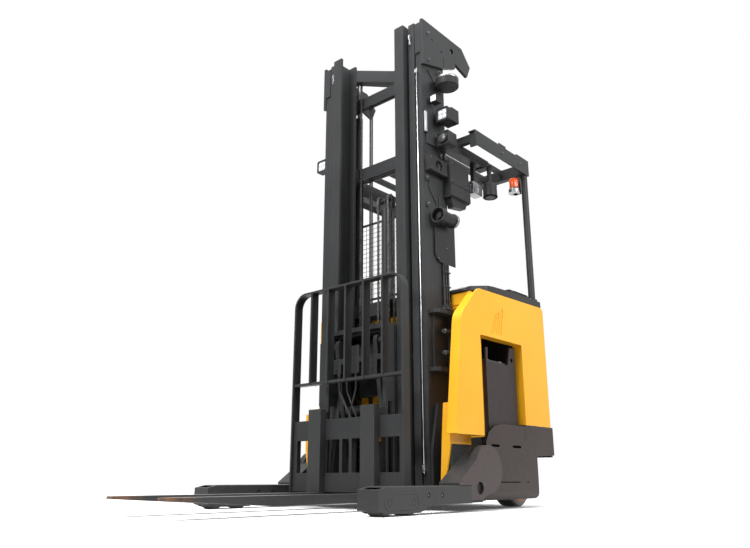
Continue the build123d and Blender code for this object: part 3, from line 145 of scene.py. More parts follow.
def make_world():
    world = bpy.data.worlds.new("studio")
    world.use_nodes = True
    tree = world.node_tree
    tree.nodes.clear()
    soft = node_of(tree, "Background", Color=(0.97, 0.98, 1.0, 1.0), Strength=WORLD_LIGHT)
    white = node_of(tree, "Background", Color=(1.0, 1.0, 1.0, 1.0), Strength=1.0)
    out = node_of(tree, "OutputWorld")
    show_either(tree, soft.outputs[0], white.outputs[0], out.inputs["Surface"])
    bpy.context.scene.world = world


make_world()
print("world light:", WORLD_LIGHT)

# %% Floor
FLOOR_SIZE = 80.0
GLOW_NEAR = 0.05
GLOW_FAR = 0.92
GLOW_FROM, GLOW_TO = 1.2, 7.0   # metres from the middle


def clear_selection():
    if bpy.context.object and bpy.context.object.mode != "OBJECT":
        bpy.ops.object.mode_set(mode="OBJECT")
    bpy.ops.object.select_all(action="DESELECT")


def make_floor():
    clear_selection()
    bpy.ops.mesh.primitive_plane_add(size=FLOOR_SIZE, location=(0.0, 0.0, -0.0005))
    floor = bpy.context.object
    floor.name = "floor"
    mat, tree, bsdf = new_material("floor_white", Base_Color=(0.95, 0.95, 0.95, 1.0),
                                   Roughness=0.8, Specular_IOR_Level=0.1)
    bounce = node_of(tree, "BsdfDiffuse", Color=(0.30, 0.30, 0.30, 1.0))
    reach = worked_out(tree, "VectorMath", "LENGTH", object_place(tree))
    ramp = node_of(tree, "MapRange", From_Min=GLOW_FROM, From_Max=GLOW_TO, To_Min=GLOW_NEAR,
                   To_Max=GLOW_FAR)
    tree.links.new(reach.outputs["Value"], ramp.inputs["Value"])
    glow = node_of(tree, "Emission")
    tree.links.new(ramp.outputs["Result"], glow.inputs["Strength"])
    add = node_of(tree, "AddShader")
    tree.links.new(bsdf.outputs[0], add.inputs[0])
    tree.links.new(glow.outputs[0], add.inputs[1])
    show_either(tree, bounce.outputs[0], add.outputs[0],
                tree.nodes["Material Output"].inputs["Surface"])
    floor.data.materials.append(mat)


make_floor()
print("floor:", FLOOR_SIZE, "m, glow", GLOW_NEAR, "to", GLOW_FAR)

# %% [markdown]
# ## Lamps
# Four large panels give the shapes: one in front of the mast, so that its flanges read
# lighter than their sides, one to the truck's left for the yellow panel, a weak one behind
# for the far edges, and a wide one overhead that lights the floor and the tops.

# %% Lamps
LAMPS = (
    # name, place, aim, size, watts
    ("front_panel", (5.3, 0.4, 4.3), (0.0, 0.0, 1.9), 2.5, 320.0),
    ("left_panel", (-0.6, 5.2, 3.4), (-0.6, 0.0, 0.9), 2.5, 230.0),
    ("rear_panel", (-4.5, -3.5, 4.0), (-0.3, 0.0, 1.6), 2.5, 90.0),
    ("top_panel", (0.6, 0.4, 7.0), (0.2, 0.2, 0.0), 5.0, 820.0),
)


def add_lamp(name, place, aim, size, watts):
    data = bpy.data.lights.new(name, "AREA")
    data.size = size
    data.energy = watts
    lamp = bpy.data.objects.new(name, data)
    lamp.location = place
    direction = Vector(aim) - Vector(place)
    lamp.rotation_euler = direction.to_track_quat("-Z", "Y").to_euler()
    bpy.context.scene.collection.objects.link(lamp)


for lamp_row in LAMPS:
    add_lamp(*lamp_row)
print("lamps:", len(LAMPS))


# %% [markdown]
# ## Finishes
# Painted steel is never one flat colour: the film has a fine orange-peel ripple, its gloss
# drifts, dust settles low down, and sharp edges get a painted highlight, a lighter colour
# laid along them. One helper builds that from noise on Object coordinates, and each finish
# below sets its own colours and scales. The bevel node rounds the look of every hard edge by
# a millimetre or so.

# %% Paint helper
def noise_of(tree, coords, scale, detail=3.0):
    noise = node_of(tree, "TexNoise", Scale=scale, Detail=detail)
    tree.links.new(coords, noise.inputs["Vector"])
    return noise.outputs["Fac"]


def map_to(tree, value, low, high, from_low=0.35, from_high=0.65):
    ramp = node_of(tree, "MapRange", From_Min=from_low, From_Max=from_high,
                   To_Min=low, To_Max=high)
    tree.links.new(value, ramp.inputs["Value"])
    return ramp.outputs["Result"]


def times(tree, first, second):
    return worked_out(tree, "Math", "MULTIPLY", first, second).outputs[0]


def mix_colours(tree, factor, first, second):
    mix = node_of(tree, "Mix")
    mix.data_type = "RGBA"
    tree.links.new(factor, mix.inputs["Factor"])
    for socket, value in ((mix.inputs["A"], first), (mix.inputs["B"], second)):
        socket = [s for s in mix.inputs if s.name == socket.name and s.type == "RGBA"][0]
        if isinstance(value, tuple):
            socket.default_value = (*value, 1.0)
        else:
            tree.links.new(value, socket)
    return [s for s in mix.outputs if s.type == "RGBA"][0]


def edge_mask(tree, radius, start=0.004, end=0.07):
    bevel = node_of(tree, "Bevel", Radius=radius)
    bevel.samples = 4
    true_normal = node_of(tree, "NewGeometry").outputs["True Normal"]
    dot = worked_out(tree, "VectorMath", "DOT_PRODUCT", bevel.outputs["Normal"], true_normal)
    flip = worked_out(tree, "Math", "SUBTRACT", 1.0, dot.outputs["Value"])
    return bevel.outputs["Normal"], map_to(tree, flip.outputs[0], 0.0, 1.0, start, end)


def coated(name, colour, drift, rough=(0.35, 0.5), drift_scale=3.0, peel=0.04,
           peel_scale=420.0, metallic=0.0, edge_colour=None, edge_radius=0.0016,
           dust=None, coat=0.0, specular=0.5):
    mat, tree, bsdf = new_material(name, Metallic=metallic, Specular_IOR_Level=specular,
                                   Coat_Weight=coat, Coat_Roughness=0.12)
    where = object_place(tree)
    broad = noise_of(tree, where, drift_scale, 5.0)
    tone = mix_colours(tree, map_to(tree, broad, 0.0, 1.0), colour, drift)
    fine = noise_of(tree, where, drift_scale * 9.0, 4.0)
    rounded, edges = edge_mask(tree, edge_radius)
    # Painted highlight: edge_colour, lighter than the paint, is laid along sharp edges and broken
    # up by noise. On the forks it is a brown of scraped steel.
    if edge_colour:
        edge_highlight_and_wear = times(tree, edges, map_to(tree, fine, 0.25, 0.95))
        tone = mix_colours(tree, edge_highlight_and_wear, tone, edge_colour)
    if dust:
        height = map_to(tree, object_place(tree, "Z"), 0.6, 0.0, 0.0, 0.45)
        patch = times(tree, height, map_to(tree, fine, 0.2, 1.0))
        tone = mix_colours(tree, patch, tone, dust)
    tree.links.new(tone, bsdf.inputs["Base Color"])
    tree.links.new(map_to(tree, fine, *rough), bsdf.inputs["Roughness"])
    ripple = node_of(tree, "Bump", Strength=peel, Distance=0.001)
    tree.links.new(noise_of(tree, where, peel_scale, 2.0), ripple.inputs["Height"])
    tree.links.new(rounded, ripple.inputs["Normal"])
    tree.links.new(ripple.outputs["Normal"], bsdf.inputs["Normal"])
    return mat


# %% [markdown]
# ## The truck's own finishes
# The mast and carriage are satin charcoal, the body a warm golden yellow gloss, and the
# skirts and battery a dark brown-grey. Plastic covers are near black with a leather-like
# grain. Rods and chains are bare steel, and the wheels cast polyurethane.

# %% Painted finishes
# Each edge_colour here is a painted highlight along sharp edges.
charcoal = coated("charcoal_satin", (0.033, 0.034, 0.035), (0.040, 0.041, 0.042),
                  rough=(0.34, 0.46), edge_colour=(0.16, 0.16, 0.165),
                  dust=(0.045, 0.042, 0.039), peel=0.06, specular=0.13)
yellow = coated("golden_yellow", (0.89, 0.42, 0.012), (0.93, 0.455, 0.016),
                rough=(0.30, 0.40), coat=0.15, edge_colour=(0.98, 0.60, 0.08), peel=0.02,
                specular=0.35)
brown_grey = coated("brown_grey_satin", (0.046, 0.034, 0.032), (0.054, 0.041, 0.039),
                    rough=(0.34, 0.46), edge_colour=(0.15, 0.13, 0.12),
                    dust=(0.058, 0.046, 0.042), peel=0.05, specular=0.15)
battery_brown = coated("battery_brown", (0.036, 0.029, 0.029), (0.043, 0.035, 0.035),
                       rough=(0.40, 0.52), edge_colour=(0.13, 0.12, 0.12), peel=0.06,
                       specular=0.15)
motor_paint = coated("motor_black", (0.02, 0.02, 0.021), (0.03, 0.03, 0.03),
                     rough=(0.5, 0.65), peel=0.3, peel_scale=300.0)
print("painted finishes:", charcoal.name, yellow.name, brown_grey.name, motor_paint.name)

# %% Plastic, rubber and bare metal
# The plastic's edge_colour is a painted highlight along sharp edges.
plastic = coated("grained_plastic", (0.022, 0.022, 0.023), (0.029, 0.028, 0.028),
                 rough=(0.38, 0.52), peel=0.25, peel_scale=900.0, edge_radius=0.0025,
                 edge_colour=(0.09, 0.09, 0.09), specular=0.16)
cover_plastic = coated("cover_plastic", (0.026, 0.022, 0.022), (0.033, 0.029, 0.029),
                       rough=(0.3, 0.42), peel=0.2, peel_scale=800.0, edge_radius=0.004,
                       specular=0.2)
rubber = coated("matt_rubber", (0.015, 0.015, 0.016), (0.023, 0.022, 0.022),
                rough=(0.4, 0.6), peel=0.3, peel_scale=600.0, specular=0.3)
steel = coated("bright_rod", (0.72, 0.73, 0.75), (0.62, 0.63, 0.65), rough=(0.12, 0.2),
               metallic=1.0, peel=0.02)
bolt_steel = coated("zinc_bolt", (0.13, 0.13, 0.135), (0.08, 0.08, 0.08), rough=(0.3, 0.45),
                    metallic=1.0, drift_scale=60.0, peel=0.1)
chain_steel = coated("oiled_chain", (0.20, 0.19, 0.18), (0.12, 0.11, 0.10),
                     rough=(0.3, 0.5), metallic=1.0, drift_scale=30.0)
screen_wire = coated("black_wire", (0.03, 0.03, 0.032), (0.04, 0.04, 0.042),
                     rough=(0.4, 0.5), drift_scale=20.0)
amber = coated("amber_lens", (0.90, 0.115, 0.012), (0.80, 0.085, 0.008), rough=(0.12, 0.2),
               coat=0.6, peel=0.0)
silver = coated("silver_casting", (0.34, 0.34, 0.35), (0.26, 0.26, 0.27), rough=(0.25, 0.4),
                metallic=1.0, drift_scale=20.0, peel=0.2)
dark_glass = coated("dark_glass", (0.012, 0.012, 0.015), (0.02, 0.02, 0.024),
                    rough=(0.04, 0.08), coat=1.0, peel=0.0, drift_scale=20.0)
red_plastic = coated("red_plastic", (0.62, 0.02, 0.015), (0.55, 0.016, 0.012),
                     rough=(0.25, 0.35), coat=0.3, drift_scale=20.0)
print("other finishes:", len(bpy.data.materials), "materials so far")


# %% [markdown]
# ## Finishes with zones
# Some parts show more than one finish on one surface: fork tips are scraped to brown bare
# steel, a drive wheel has a grey tread on an orange-brown rim, and a lamp face glows. Other
# zones are painted shade: black in the hole of a leg's root plate, in the legs' bolt
# recesses and inside the skirt's openings. Each zone is a mask worked out from Object
# coordinates, laid over the finish below it.

# %% Zone helpers
def lay_over(mat, mask, colour):
    tree = mat.node_tree
    bsdf = tree.nodes["Principled BSDF"]
    under = bsdf.inputs["Base Color"].links[0].from_socket
    tree.links.new(mix_colours(tree, mask, under, colour), bsdf.inputs["Base Color"])


def distance_from(tree, centre, keep=(1.0, 0.0, 1.0)):
    away = worked_out(tree, "VectorMath", "SUBTRACT", object_place(tree), centre)
    flat = worked_out(tree, "VectorMath", "MULTIPLY", away.outputs[0], keep)
    return worked_out(tree, "VectorMath", "LENGTH", flat.outputs[0]).outputs["Value"]


def band(tree, value, low, high, soft=0.002):
    return times(tree, map_to(tree, value, 0.0, 1.0, low, low + soft),
                 map_to(tree, value, 1.0, 0.0, high - soft, high))


def mark_ring(mat, x, z, low, high, soft, colour):
    away = distance_from(mat.node_tree, (x, 0.0, z))
    lay_over(mat, band(mat.node_tree, away, low, high, soft), colour)


def side_reach(tree):
    return worked_out(tree, "Math", "ABSOLUTE", object_place(tree, "Y")).outputs[0]


print("zone helpers ready")

# %% Forks and wheels
# The brown edge_colour is scraped steel along the fork's edges, laid on by the same edge mask that
# paints highlights on other finishes.
fork_steel = coated("fork_charcoal", (0.033, 0.034, 0.035), (0.040, 0.041, 0.042),
                    rough=(0.36, 0.5), edge_colour=(0.24, 0.17, 0.13),
                    dust=(0.045, 0.042, 0.039), specular=0.2)
fork_tree = fork_steel.node_tree
tip_reach = distance_from(fork_tree, (1.236, 0.0, 0.0), (1.0, 0.0, 0.0))
tip_patches = noise_of(fork_tree, object_place(fork_tree), 30.0, 5.0)
tip_wear = times(fork_tree, map_to(fork_tree, tip_reach, 1.0, 0.0, 0.01, 0.16),
                 map_to(fork_tree, tip_patches, 0.1, 1.0))
lay_over(fork_steel, tip_wear, (0.24, 0.115, 0.06))


def wheel_finish(name, centre, tread_from, tyre, rim, hub_to):
    mat = coated(name, tyre, tuple(c * 0.75 for c in tyre), rough=(0.45, 0.6),
                 drift_scale=14.0, peel=0.15, dust=(0.13, 0.115, 0.10))
    tree = mat.node_tree
    out = distance_from(tree, centre)
    lay_over(mat, band(tree, out, hub_to, tread_from), rim)
    lay_over(mat, band(tree, out, -0.01, hub_to), (0.05, 0.05, 0.052))
    return mat


LOAD_WHEEL_X = (0.399, 0.231)
LOAD_WHEEL_Z = 0.059
DRIVE_X, DRIVE_Z = -1.05, 0.145
load_wheel_finish = {}
for spot, wheel_x in zip(("front", "rear"), LOAD_WHEEL_X):
    load_wheel_finish[spot] = wheel_finish("load_wheel_" + spot, (wheel_x, 0.0, LOAD_WHEEL_Z),
                                           0.045, (0.20, 0.19, 0.175), (0.12, 0.12, 0.12),
                                           0.024)
drive_tyre = wheel_finish("drive_tyre", (DRIVE_X, 0.0, DRIVE_Z), 0.118, (0.17, 0.165, 0.16),
                          (0.30, 0.13, 0.05), 0.06)
caster_tyre = wheel_finish("caster_tyre", (-1.06, 0.0, 0.09), 0.068, (0.17, 0.165, 0.16),
                           (0.12, 0.12, 0.12), 0.03)
print("fork tips and wheels zoned")

# %% Leg root plates
root_paint = coated("root_charcoal", (0.028, 0.029, 0.030), (0.035, 0.036, 0.037),
                    rough=(0.34, 0.46), edge_colour=(0.16, 0.15, 0.145), peel=0.06,
                    specular=0.2)
root_tree = root_paint.node_tree
root_side = side_reach(root_tree)
lay_over(root_paint, map_to(root_tree, root_side, 0.0, 1.0, 0.6855, 0.6865),
         (0.064, 0.050, 0.049))
# Painted shade: a black disc stands for the shade inside the hole in the side plate. The
# edge_colour above is a painted highlight along the edges.
mark_ring(root_paint, -0.322, 0.115, -0.01, 0.0312, 0.0008, (0.004, 0.004, 0.004))
print("leg roots: dark arm, brown side plate, black hole")

# %% Leg sides
# The legs' edge_colour is a painted highlight along sharp edges.
leg_paint = coated("leg_charcoal", (0.034, 0.035, 0.036), (0.042, 0.043, 0.044),
                   rough=(0.32, 0.44), edge_colour=(0.17, 0.17, 0.175),
                   dust=(0.046, 0.043, 0.040), peel=0.06, specular=0.18)
for axle_x in LOAD_WHEEL_X:
    mark_ring(leg_paint, axle_x, LOAD_WHEEL_Z, 0.0125, 0.0165, 0.001, (0.006, 0.006, 0.006))
# Painted shade: a dark ring in each bolt recess, around the bolt head.
for bolt_x, bolt_z in ((0.118, 0.087), (0.010, 0.085)):
    mark_ring(leg_paint, bolt_x, bolt_z, 0.006, 0.0135, 0.001, (0.005, 0.005, 0.005))
print("legs: axle ends and bolt recesses marked")

# %% Skirt with painted shade in its openings, and a dark seam
# The skirt's edge_colour is a painted highlight along sharp edges.
skirt_paint = coated("skirt_brown_grey", (0.042, 0.032, 0.030), (0.050, 0.038, 0.036),
                     rough=(0.34, 0.46), edge_colour=(0.13, 0.11, 0.105), peel=0.05,
                     specular=0.15)
skirt_tree = skirt_paint.node_tree
skirt_side = side_reach(skirt_tree)
# Painted shade: the faces set in from the skirt's outer side, inside its openings, are near black.
lay_over(skirt_paint, map_to(skirt_tree, skirt_side, 1.0, 0.0, 0.6370, 0.6385),
         (0.006, 0.005, 0.005))
seam = times(skirt_tree,
             band(skirt_tree, object_place(skirt_tree, "X"), -0.9040, -0.8990, 0.001),
             map_to(skirt_tree, object_place(skirt_tree, "Z"), 0.0, 1.0, 0.374, 0.376))
lay_over(skirt_paint, seam, (0.006, 0.005, 0.005))
print("skirt: openings and seam dark")

# %% Lamp faces
def glowing(name, colour, strength):
    mat = coated(name, colour, tuple(c * 0.92 for c in colour), rough=(0.12, 0.2), coat=0.6,
                 drift_scale=40.0, peel=0.0)
    set_inputs(mat.node_tree.nodes["Principled BSDF"],
               Emission_Color=(1.0, 1.0, 1.0, 1.0), Emission_Strength=strength)
    return mat


lamp_glass = glowing("lamp_glass", (0.42, 0.44, 0.47), 0.03)
led_lens = glowing("led_lens", (0.85, 0.87, 0.90), 0.25)
strip_glass = glowing("strip_glass", (0.42, 0.43, 0.44), 0.0)
bright_lamp = glowing("bright_lamp", (0.85, 0.86, 0.88), 0.4)
print("lamp faces:", lamp_glass.name, led_lens.name, strip_glass.name)

# %% [markdown]
# ## Dressing the frame
# Every node of the frame gets its finish by name, and the cell prints any that was missed.

# %% Dress every node
FINISH_OF = {
    leg_paint: ("left_leg", "right_leg"),
    charcoal: ("chassis_frame", "mast_outer", "mast_mid",
               "mast_inner", "lifting_plates", "lift_carriage", "scissor_arm_outer",
               "scissor_arm_inner", "reach_head", "fork_carriage", "backrest",
               "overhead_guard", "guard_posts", "lift_cylinders", "free_lift_cylinder",
               "caster_fork", "mast_mounts", "tilt_cylinder", "guard_fittings"),
    fork_steel: ("left_fork", "right_fork"),
    yellow: ("left_side_panel", "right_side_panel", "front_cowl", "front_gates"),
    brown_grey: ("lower_sills", "rear_bumper"),
    skirt_paint: ("side_skirts",),
    root_paint: ("leg_roots",),
    battery_brown: ("battery",),
    plastic: ("cab_shell", "console", "hand_controls", "mast_boxes", "side_lamps",
              "sensor_drum", "horn"),
    cover_plastic: ("top_cover",),
    rubber: ("operator_floor", "cab_cushion", "cable_loom", "mast_pipes", "lamp_wires",
             "reach_hoses"),
    steel: ("lift_rods", "tilt_rod", "draw_wire"),
    chain_steel: ("lift_chains", "mast_chains"),
    load_wheel_finish["front"]: ("left_front_load_wheel", "right_front_load_wheel"),
    load_wheel_finish["rear"]: ("left_rear_load_wheel", "right_rear_load_wheel"),
    drive_tyre: ("drive_wheel",),
    caster_tyre: ("caster_wheel",),
    motor_paint: ("drive_unit", "drive_motor"),
    amber: ("beacon",),
}


def dress(node_name, material):
    mesh = nodes[node_name].data
    mesh.materials.clear()
    mesh.materials.append(material)


for finish_material, members in FINISH_OF.items():
    for member in members:
        dress(member, finish_material)
bare = sorted(set(nodes) - {n for names in FINISH_OF.values() for n in names})
print("nodes with a finish:", len(nodes) - len(bare), "bare:", bare)

# %% [markdown]
# ## Modelling by hand, in code
# Each fitted piece starts as a primitive at its own size and place. Its faces or edges are
# then picked by the way they look and inset, pushed, bored or rounded in edit mode. Last
# come soft edges, by a bevel that is applied, because no machined or moulded edge on a
# truck is razor sharp. These small helpers are the vocabulary for all that follows.

# %% Starting forms
X, Y, Z = 0, 1, 2
AXIS_TURN = ((0.0, math.pi / 2, 0.0), (math.pi / 2, 0.0, 0.0), (0.0, 0.0, 0.0))


def make_active(piece):
    clear_selection()
    piece.select_set(True)
    bpy.context.view_layer.objects.active = piece


def settle(name):
    bpy.ops.object.transform_apply(location=True, rotation=True, scale=True)
    piece = bpy.context.object
    piece.name = name
    return piece


def start_block(name, low, high):
    clear_selection()
    centre = [(a + b) / 2 for a, b in zip(low, high)]
    size = [b - a for a, b in zip(low, high)]
    bpy.ops.mesh.primitive_cube_add(size=1.0, location=centre, scale=size)
    return settle(name)


def start_round(name, centre, radius, depth, axis=Z, sides=32):
    clear_selection()
    bpy.ops.mesh.primitive_cylinder_add(vertices=sides, radius=radius, depth=depth,
                                        location=centre, rotation=AXIS_TURN[axis])
    return settle(name)


def start_ball(name, centre, radius, squash=(1.0, 1.0, 1.0)):
    clear_selection()
    bpy.ops.mesh.primitive_uv_sphere_add(segments=28, ring_count=14, radius=radius,
                                         location=centre, scale=squash)
    return settle(name)


print("starting forms: block, round, ball")


# %% Edit-mode moves
def facing(axis, sign=1.0, limit=0.9):
    return lambda face: face.normal[axis] * sign > limit


def both_ends(axis):
    return lambda face: abs(face.normal[axis]) > 0.9


FRONT, BACK, LEFT = facing(X), facing(X, -1.0), facing(Y)
TOP, UNDER = facing(Z), facing(Z, -1.0)


def at(x=0.0, y=0.0, z=0.0):
    return Matrix.Translation((x, y, z))


def pick_faces(piece, test):
    make_active(piece)
    bpy.ops.object.mode_set(mode="EDIT")
    bpy.ops.mesh.select_mode(type="FACE")
    bpy.ops.mesh.select_all(action="DESELECT")
    form = bmesh.from_edit_mesh(piece.data)
    for face in form.faces:
        face.select_set(bool(test(face)))
    bmesh.update_edit_mesh(piece.data)


def inset_faces(piece, test, border, push, each=False):
    pick_faces(piece, test)
    bpy.ops.mesh.inset(thickness=border, depth=push, use_individual=each)
    bpy.ops.object.mode_set(mode="OBJECT")


def round_edges_along(piece, axis, radius, segments=5):
    make_active(piece)
    bpy.ops.object.mode_set(mode="EDIT")
    bpy.ops.mesh.select_mode(type="EDGE")
    bpy.ops.mesh.select_all(action="DESELECT")
    form = bmesh.from_edit_mesh(piece.data)
    for edge in form.edges:
        run = edge.verts[1].co - edge.verts[0].co
        edge.select_set(abs(run.normalized()[axis]) > 0.99)
    bmesh.update_edit_mesh(piece.data)
    bpy.ops.mesh.bevel(offset=radius, segments=segments, affect="EDGES")
    bpy.ops.object.mode_set(mode="OBJECT")


def bore_through(piece, axis, wall):
    pick_faces(piece, lambda face: abs(face.normal[axis]) > 0.99)
    bpy.ops.mesh.inset(thickness=wall)
    bpy.ops.mesh.delete(type="FACE")
    bpy.ops.mesh.select_mode(type="EDGE")
    bpy.ops.mesh.select_non_manifold(extend=False)
    bpy.ops.mesh.bridge_edge_loops()
    bpy.ops.mesh.select_all(action="SELECT")
    bpy.ops.mesh.normals_make_consistent(inside=False)
    bpy.ops.object.mode_set(mode="OBJECT")


print("edit moves: inset, round edges, bore")


# %% Finishing moves
def soften(piece, width=0.0008, segments=2):
    bevel = piece.modifiers.new("soft_edges", "BEVEL")
    bevel.width = width
    bevel.segments = segments
    bevel.limit_method = "ANGLE"
    bevel.angle_limit = math.radians(30.0)
    make_active(piece)
    bpy.ops.object.modifier_apply(modifier=bevel.name)
    bpy.ops.object.shade_smooth_by_angle(angle=math.radians(35.0))
    return piece


def twin(piece, name, matrix):
    other = piece.copy()
    other.data = piece.data.copy()
    other.name = name
    other.data.transform(matrix)
    if matrix.determinant() < 0:
        other.data.flip_normals()
    bpy.context.scene.collection.objects.link(other)
    return other


def join(pieces, name):
    clear_selection()
    for piece in pieces:
        piece.select_set(True)
    bpy.context.view_layer.objects.active = pieces[0]
    bpy.ops.object.join()
    joined = bpy.context.object
    joined.name = name
    return joined


# Slot names by finish. fit() works one out for each piece, black_plastic for a finish not listed
# here, and keeps it nowhere.
SLOT_OF = {charcoal: "charcoal_paint", screen_wire: "charcoal_paint"}
SLOT_OF.update(dict.fromkeys((silver, bolt_steel, chain_steel, strip_glass, bright_lamp,
                              led_lens), "bright_steel"))


def fit(piece, material, body="chassis", slot=None):
    piece.data.materials.clear()
    piece.data.materials.append(material)
    slot = slot or SLOT_OF.get(material, "black_plastic")
    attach(piece, body)
    print("fitted", piece.name, len(piece.data.polygons), "faces on", body)
    return piece


MIRROR = Matrix.Scale(-1.0, 4, (0.0, 1.0, 0.0))
print("finishing moves: soften, twin, join, fit")

# %% [markdown]
# ## Lamp faces
# Two work lamps look forward beside the mast. Each has a square glass with rounded corners,
# set back in its housing, and four round reflectors behind it. The glass is a block with
# rounded edges and an inset rim. One reflector is a flat dome, and its copies sit at the
# corners of a square.

# %% Work lamps
def model_work_lamp(tag, front_x, centre_y, centre_z):
    low = (front_x - 0.0048, centre_y - 0.0325, centre_z - 0.0325)
    high = (front_x - 0.0018, centre_y + 0.0325, centre_z + 0.0325)
    glass = start_block("lamp_glass_" + tag, low, high)
    round_edges_along(glass, X, 0.009)
    inset_faces(glass, FRONT, 0.003, -0.0008)
    soften(glass, 0.0004)
    lens = start_ball("lens", (front_x - 0.0030, centre_y - 0.0145, centre_z - 0.0145),
                      0.0125, (0.2, 1.0, 1.0))
    inset_faces(lens, facing(X, 1.0, 0.97), 0.0015, 0.0004)
    soften(lens, 0.0002)
    dots = [lens]
    for step_y, step_z in ((0.029, 0.0), (0.0, 0.029), (0.029, 0.029)):
        dots.append(twin(lens, "lens_copy", at(y=step_y, z=step_z)))
    fit(glass, lamp_glass)
    fit(join(dots, "lamp_leds_" + tag), led_lens)


model_work_lamp("left", -0.345, 0.5003, 2.358)
model_work_lamp("right", -0.254, -0.4863, 2.278)

# %% [markdown]
# ## Camera, small lamp and horn
# Under the left work lamp sits a camera: a dark domed lens in a ring. Above the work lamp
# is a small square marker lamp, and further down hangs the horn, whose mouth is a rolled
# rim around a small cone. A disc that is bored through gives each ring.

# %% Camera lens
camera_glass = coated("camera_glass", (0.075, 0.078, 0.082), (0.05, 0.052, 0.056),
                      rough=(0.25, 0.35), coat=0.2, peel=0.0, drift_scale=30.0,
                      specular=0.3)
CAMERA_Y, CAMERA_Z = 0.5023, 2.192
camera_dome = start_ball("camera_dome", (-0.3405, CAMERA_Y, CAMERA_Z), 0.0275, (0.3, 1.0, 1.0))
inset_faces(camera_dome, facing(X, 1.0, 0.985), 0.001, 0.0005)
fit(soften(camera_dome, 0.0002), camera_glass)
camera_ring = start_round("camera_ring", (-0.3365, CAMERA_Y, CAMERA_Z), 0.0315, 0.005, X, 40)
bore_through(camera_ring, X, 0.0035)
fit(soften(camera_ring, 0.0006), plastic)

# %% Small lamp
small_lamp = start_block("small_lamp", (-0.2905, 0.458, 2.436), (-0.2870, 0.496, 2.474))
round_edges_along(small_lamp, X, 0.003, 3)
inset_faces(small_lamp, FRONT, 0.003, -0.0008)
fit(soften(small_lamp, 0.0004), bright_lamp)

# %% Horn mouth
HORN_Y, HORN_Z = 0.4883, 1.668
horn_rim = start_round("horn_rim", (-0.2870, HORN_Y, HORN_Z), 0.0492, 0.006, X, 48)
bore_through(horn_rim, X, 0.0068)
fit(soften(horn_rim, 0.0022, 4), plastic)
horn_cone = start_round("horn_cone", (-0.3265, HORN_Y, HORN_Z), 0.021, 0.010, X, 32)
inset_faces(horn_cone, FRONT, 0.007, 0.012)
inset_faces(horn_cone, facing(X, 1.0, 0.99), 0.005, 0.003)
fit(soften(horn_cone, 0.0008), silver)
horn_band = start_round("horn_band", (-0.4405, HORN_Y, HORN_Z), 0.0452, 0.008, X, 48)
bore_through(horn_band, X, 0.004)
fit(soften(horn_band, 0.0006), silver)

# %% [markdown]
# ## Light strip on the mast's side
# A slim bar lamp stands on the nose of the guard's arm, against the outer rail, and reads
# as a bright line. Its glass is a block with well rounded long edges, and a dark cap with
# a raised rim closes each end.

# %% Light strip
strip_bar = start_block("strip_bar", (-0.268, 0.4305, 2.224), (-0.247, 0.4450, 2.364))
round_edges_along(strip_bar, Z, 0.006)
fit(soften(strip_bar, 0.0004), strip_glass)
strip_ends = []
for low_z, high_z in ((2.2165, 2.2235), (2.3645, 2.3715)):
    cap = start_block("strip_end", (-0.270, 0.4304, low_z), (-0.245, 0.4470, high_z))
    round_edges_along(cap, Z, 0.005)
    inset_faces(cap, both_ends(Z), 0.002, 0.0004)
    strip_ends.append(soften(cap, 0.0005))
fit(join(strip_ends, "strip_ends"), plastic)

# %% [markdown]
# ## Beacon
# The beacon is a ribbed orange lens on a cast base. The lens starts as a round with 48
# sides. Every other side face is pushed out for a rib, and the top is stepped in twice,
# so that it domes. Base and lens stand for the plain solid, each with its own finish.

# %% Beacon
BEACON_X, BEACON_Y = -1.098, 0.550
beacon_lens = start_round("beacon_lens", (BEACON_X, BEACON_Y, 2.1155), 0.0300, 0.063, Z, 48)


def every_other_side(face):
    angle = math.degrees(math.atan2(face.normal.y, face.normal.x)) % 360.0
    return abs(face.normal.z) < 0.1 and int(angle / 7.5) % 2 == 0


inset_faces(beacon_lens, every_other_side, 0.0004, 0.0008, each=True)
inset_faces(beacon_lens, TOP, 0.005, 0.004)
inset_faces(beacon_lens, facing(Z, 1.0, 0.995), 0.011, 0.003)
fit(soften(beacon_lens, 0.0004), amber)
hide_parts("beacon")
beacon_base = start_round("beacon_base", (BEACON_X, BEACON_Y, 2.053), 0.0395, 0.016, Z, 48)
inset_faces(beacon_base, TOP, 0.0045, 0.0)
inset_faces(beacon_base, facing(Z, 1.0, 0.99), 0.0003, 0.0115)
fit(soften(beacon_base, 0.0010), silver)
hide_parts("guard_fittings")

# %% [markdown]
# ## Beacon bracket and the units under the guard
# The beacon stands on a bent plate that hangs from the guard's rear cross bar, behind the
# lens, so that the light shows forward. Two more units hang under the left arm: a silver
# unit with plugs in its face, and a dark dome on a stem. The dome is a round whose lower
# rim is rounded generously.

# %% Beacon bracket
stay = start_block("stay", (-1.142, 0.532, 2.0452), (-1.134, 0.5807, 2.1727))
flange = start_block("flange", (-1.172, 0.532, 2.1690), (-1.134, 0.5807, 2.1727))
shelf = start_block("shelf", (-1.142, 0.532, 2.0452), (-1.098, 0.568, 2.0500))
for plate in (stay, flange, shelf):
    inset_faces(plate, UNDER, 0.003, 0.0002)
    soften(plate, 0.0012)
bracket = fit(join([stay, flange, shelf], "beacon_bracket"), charcoal)
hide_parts("guard_fittings")

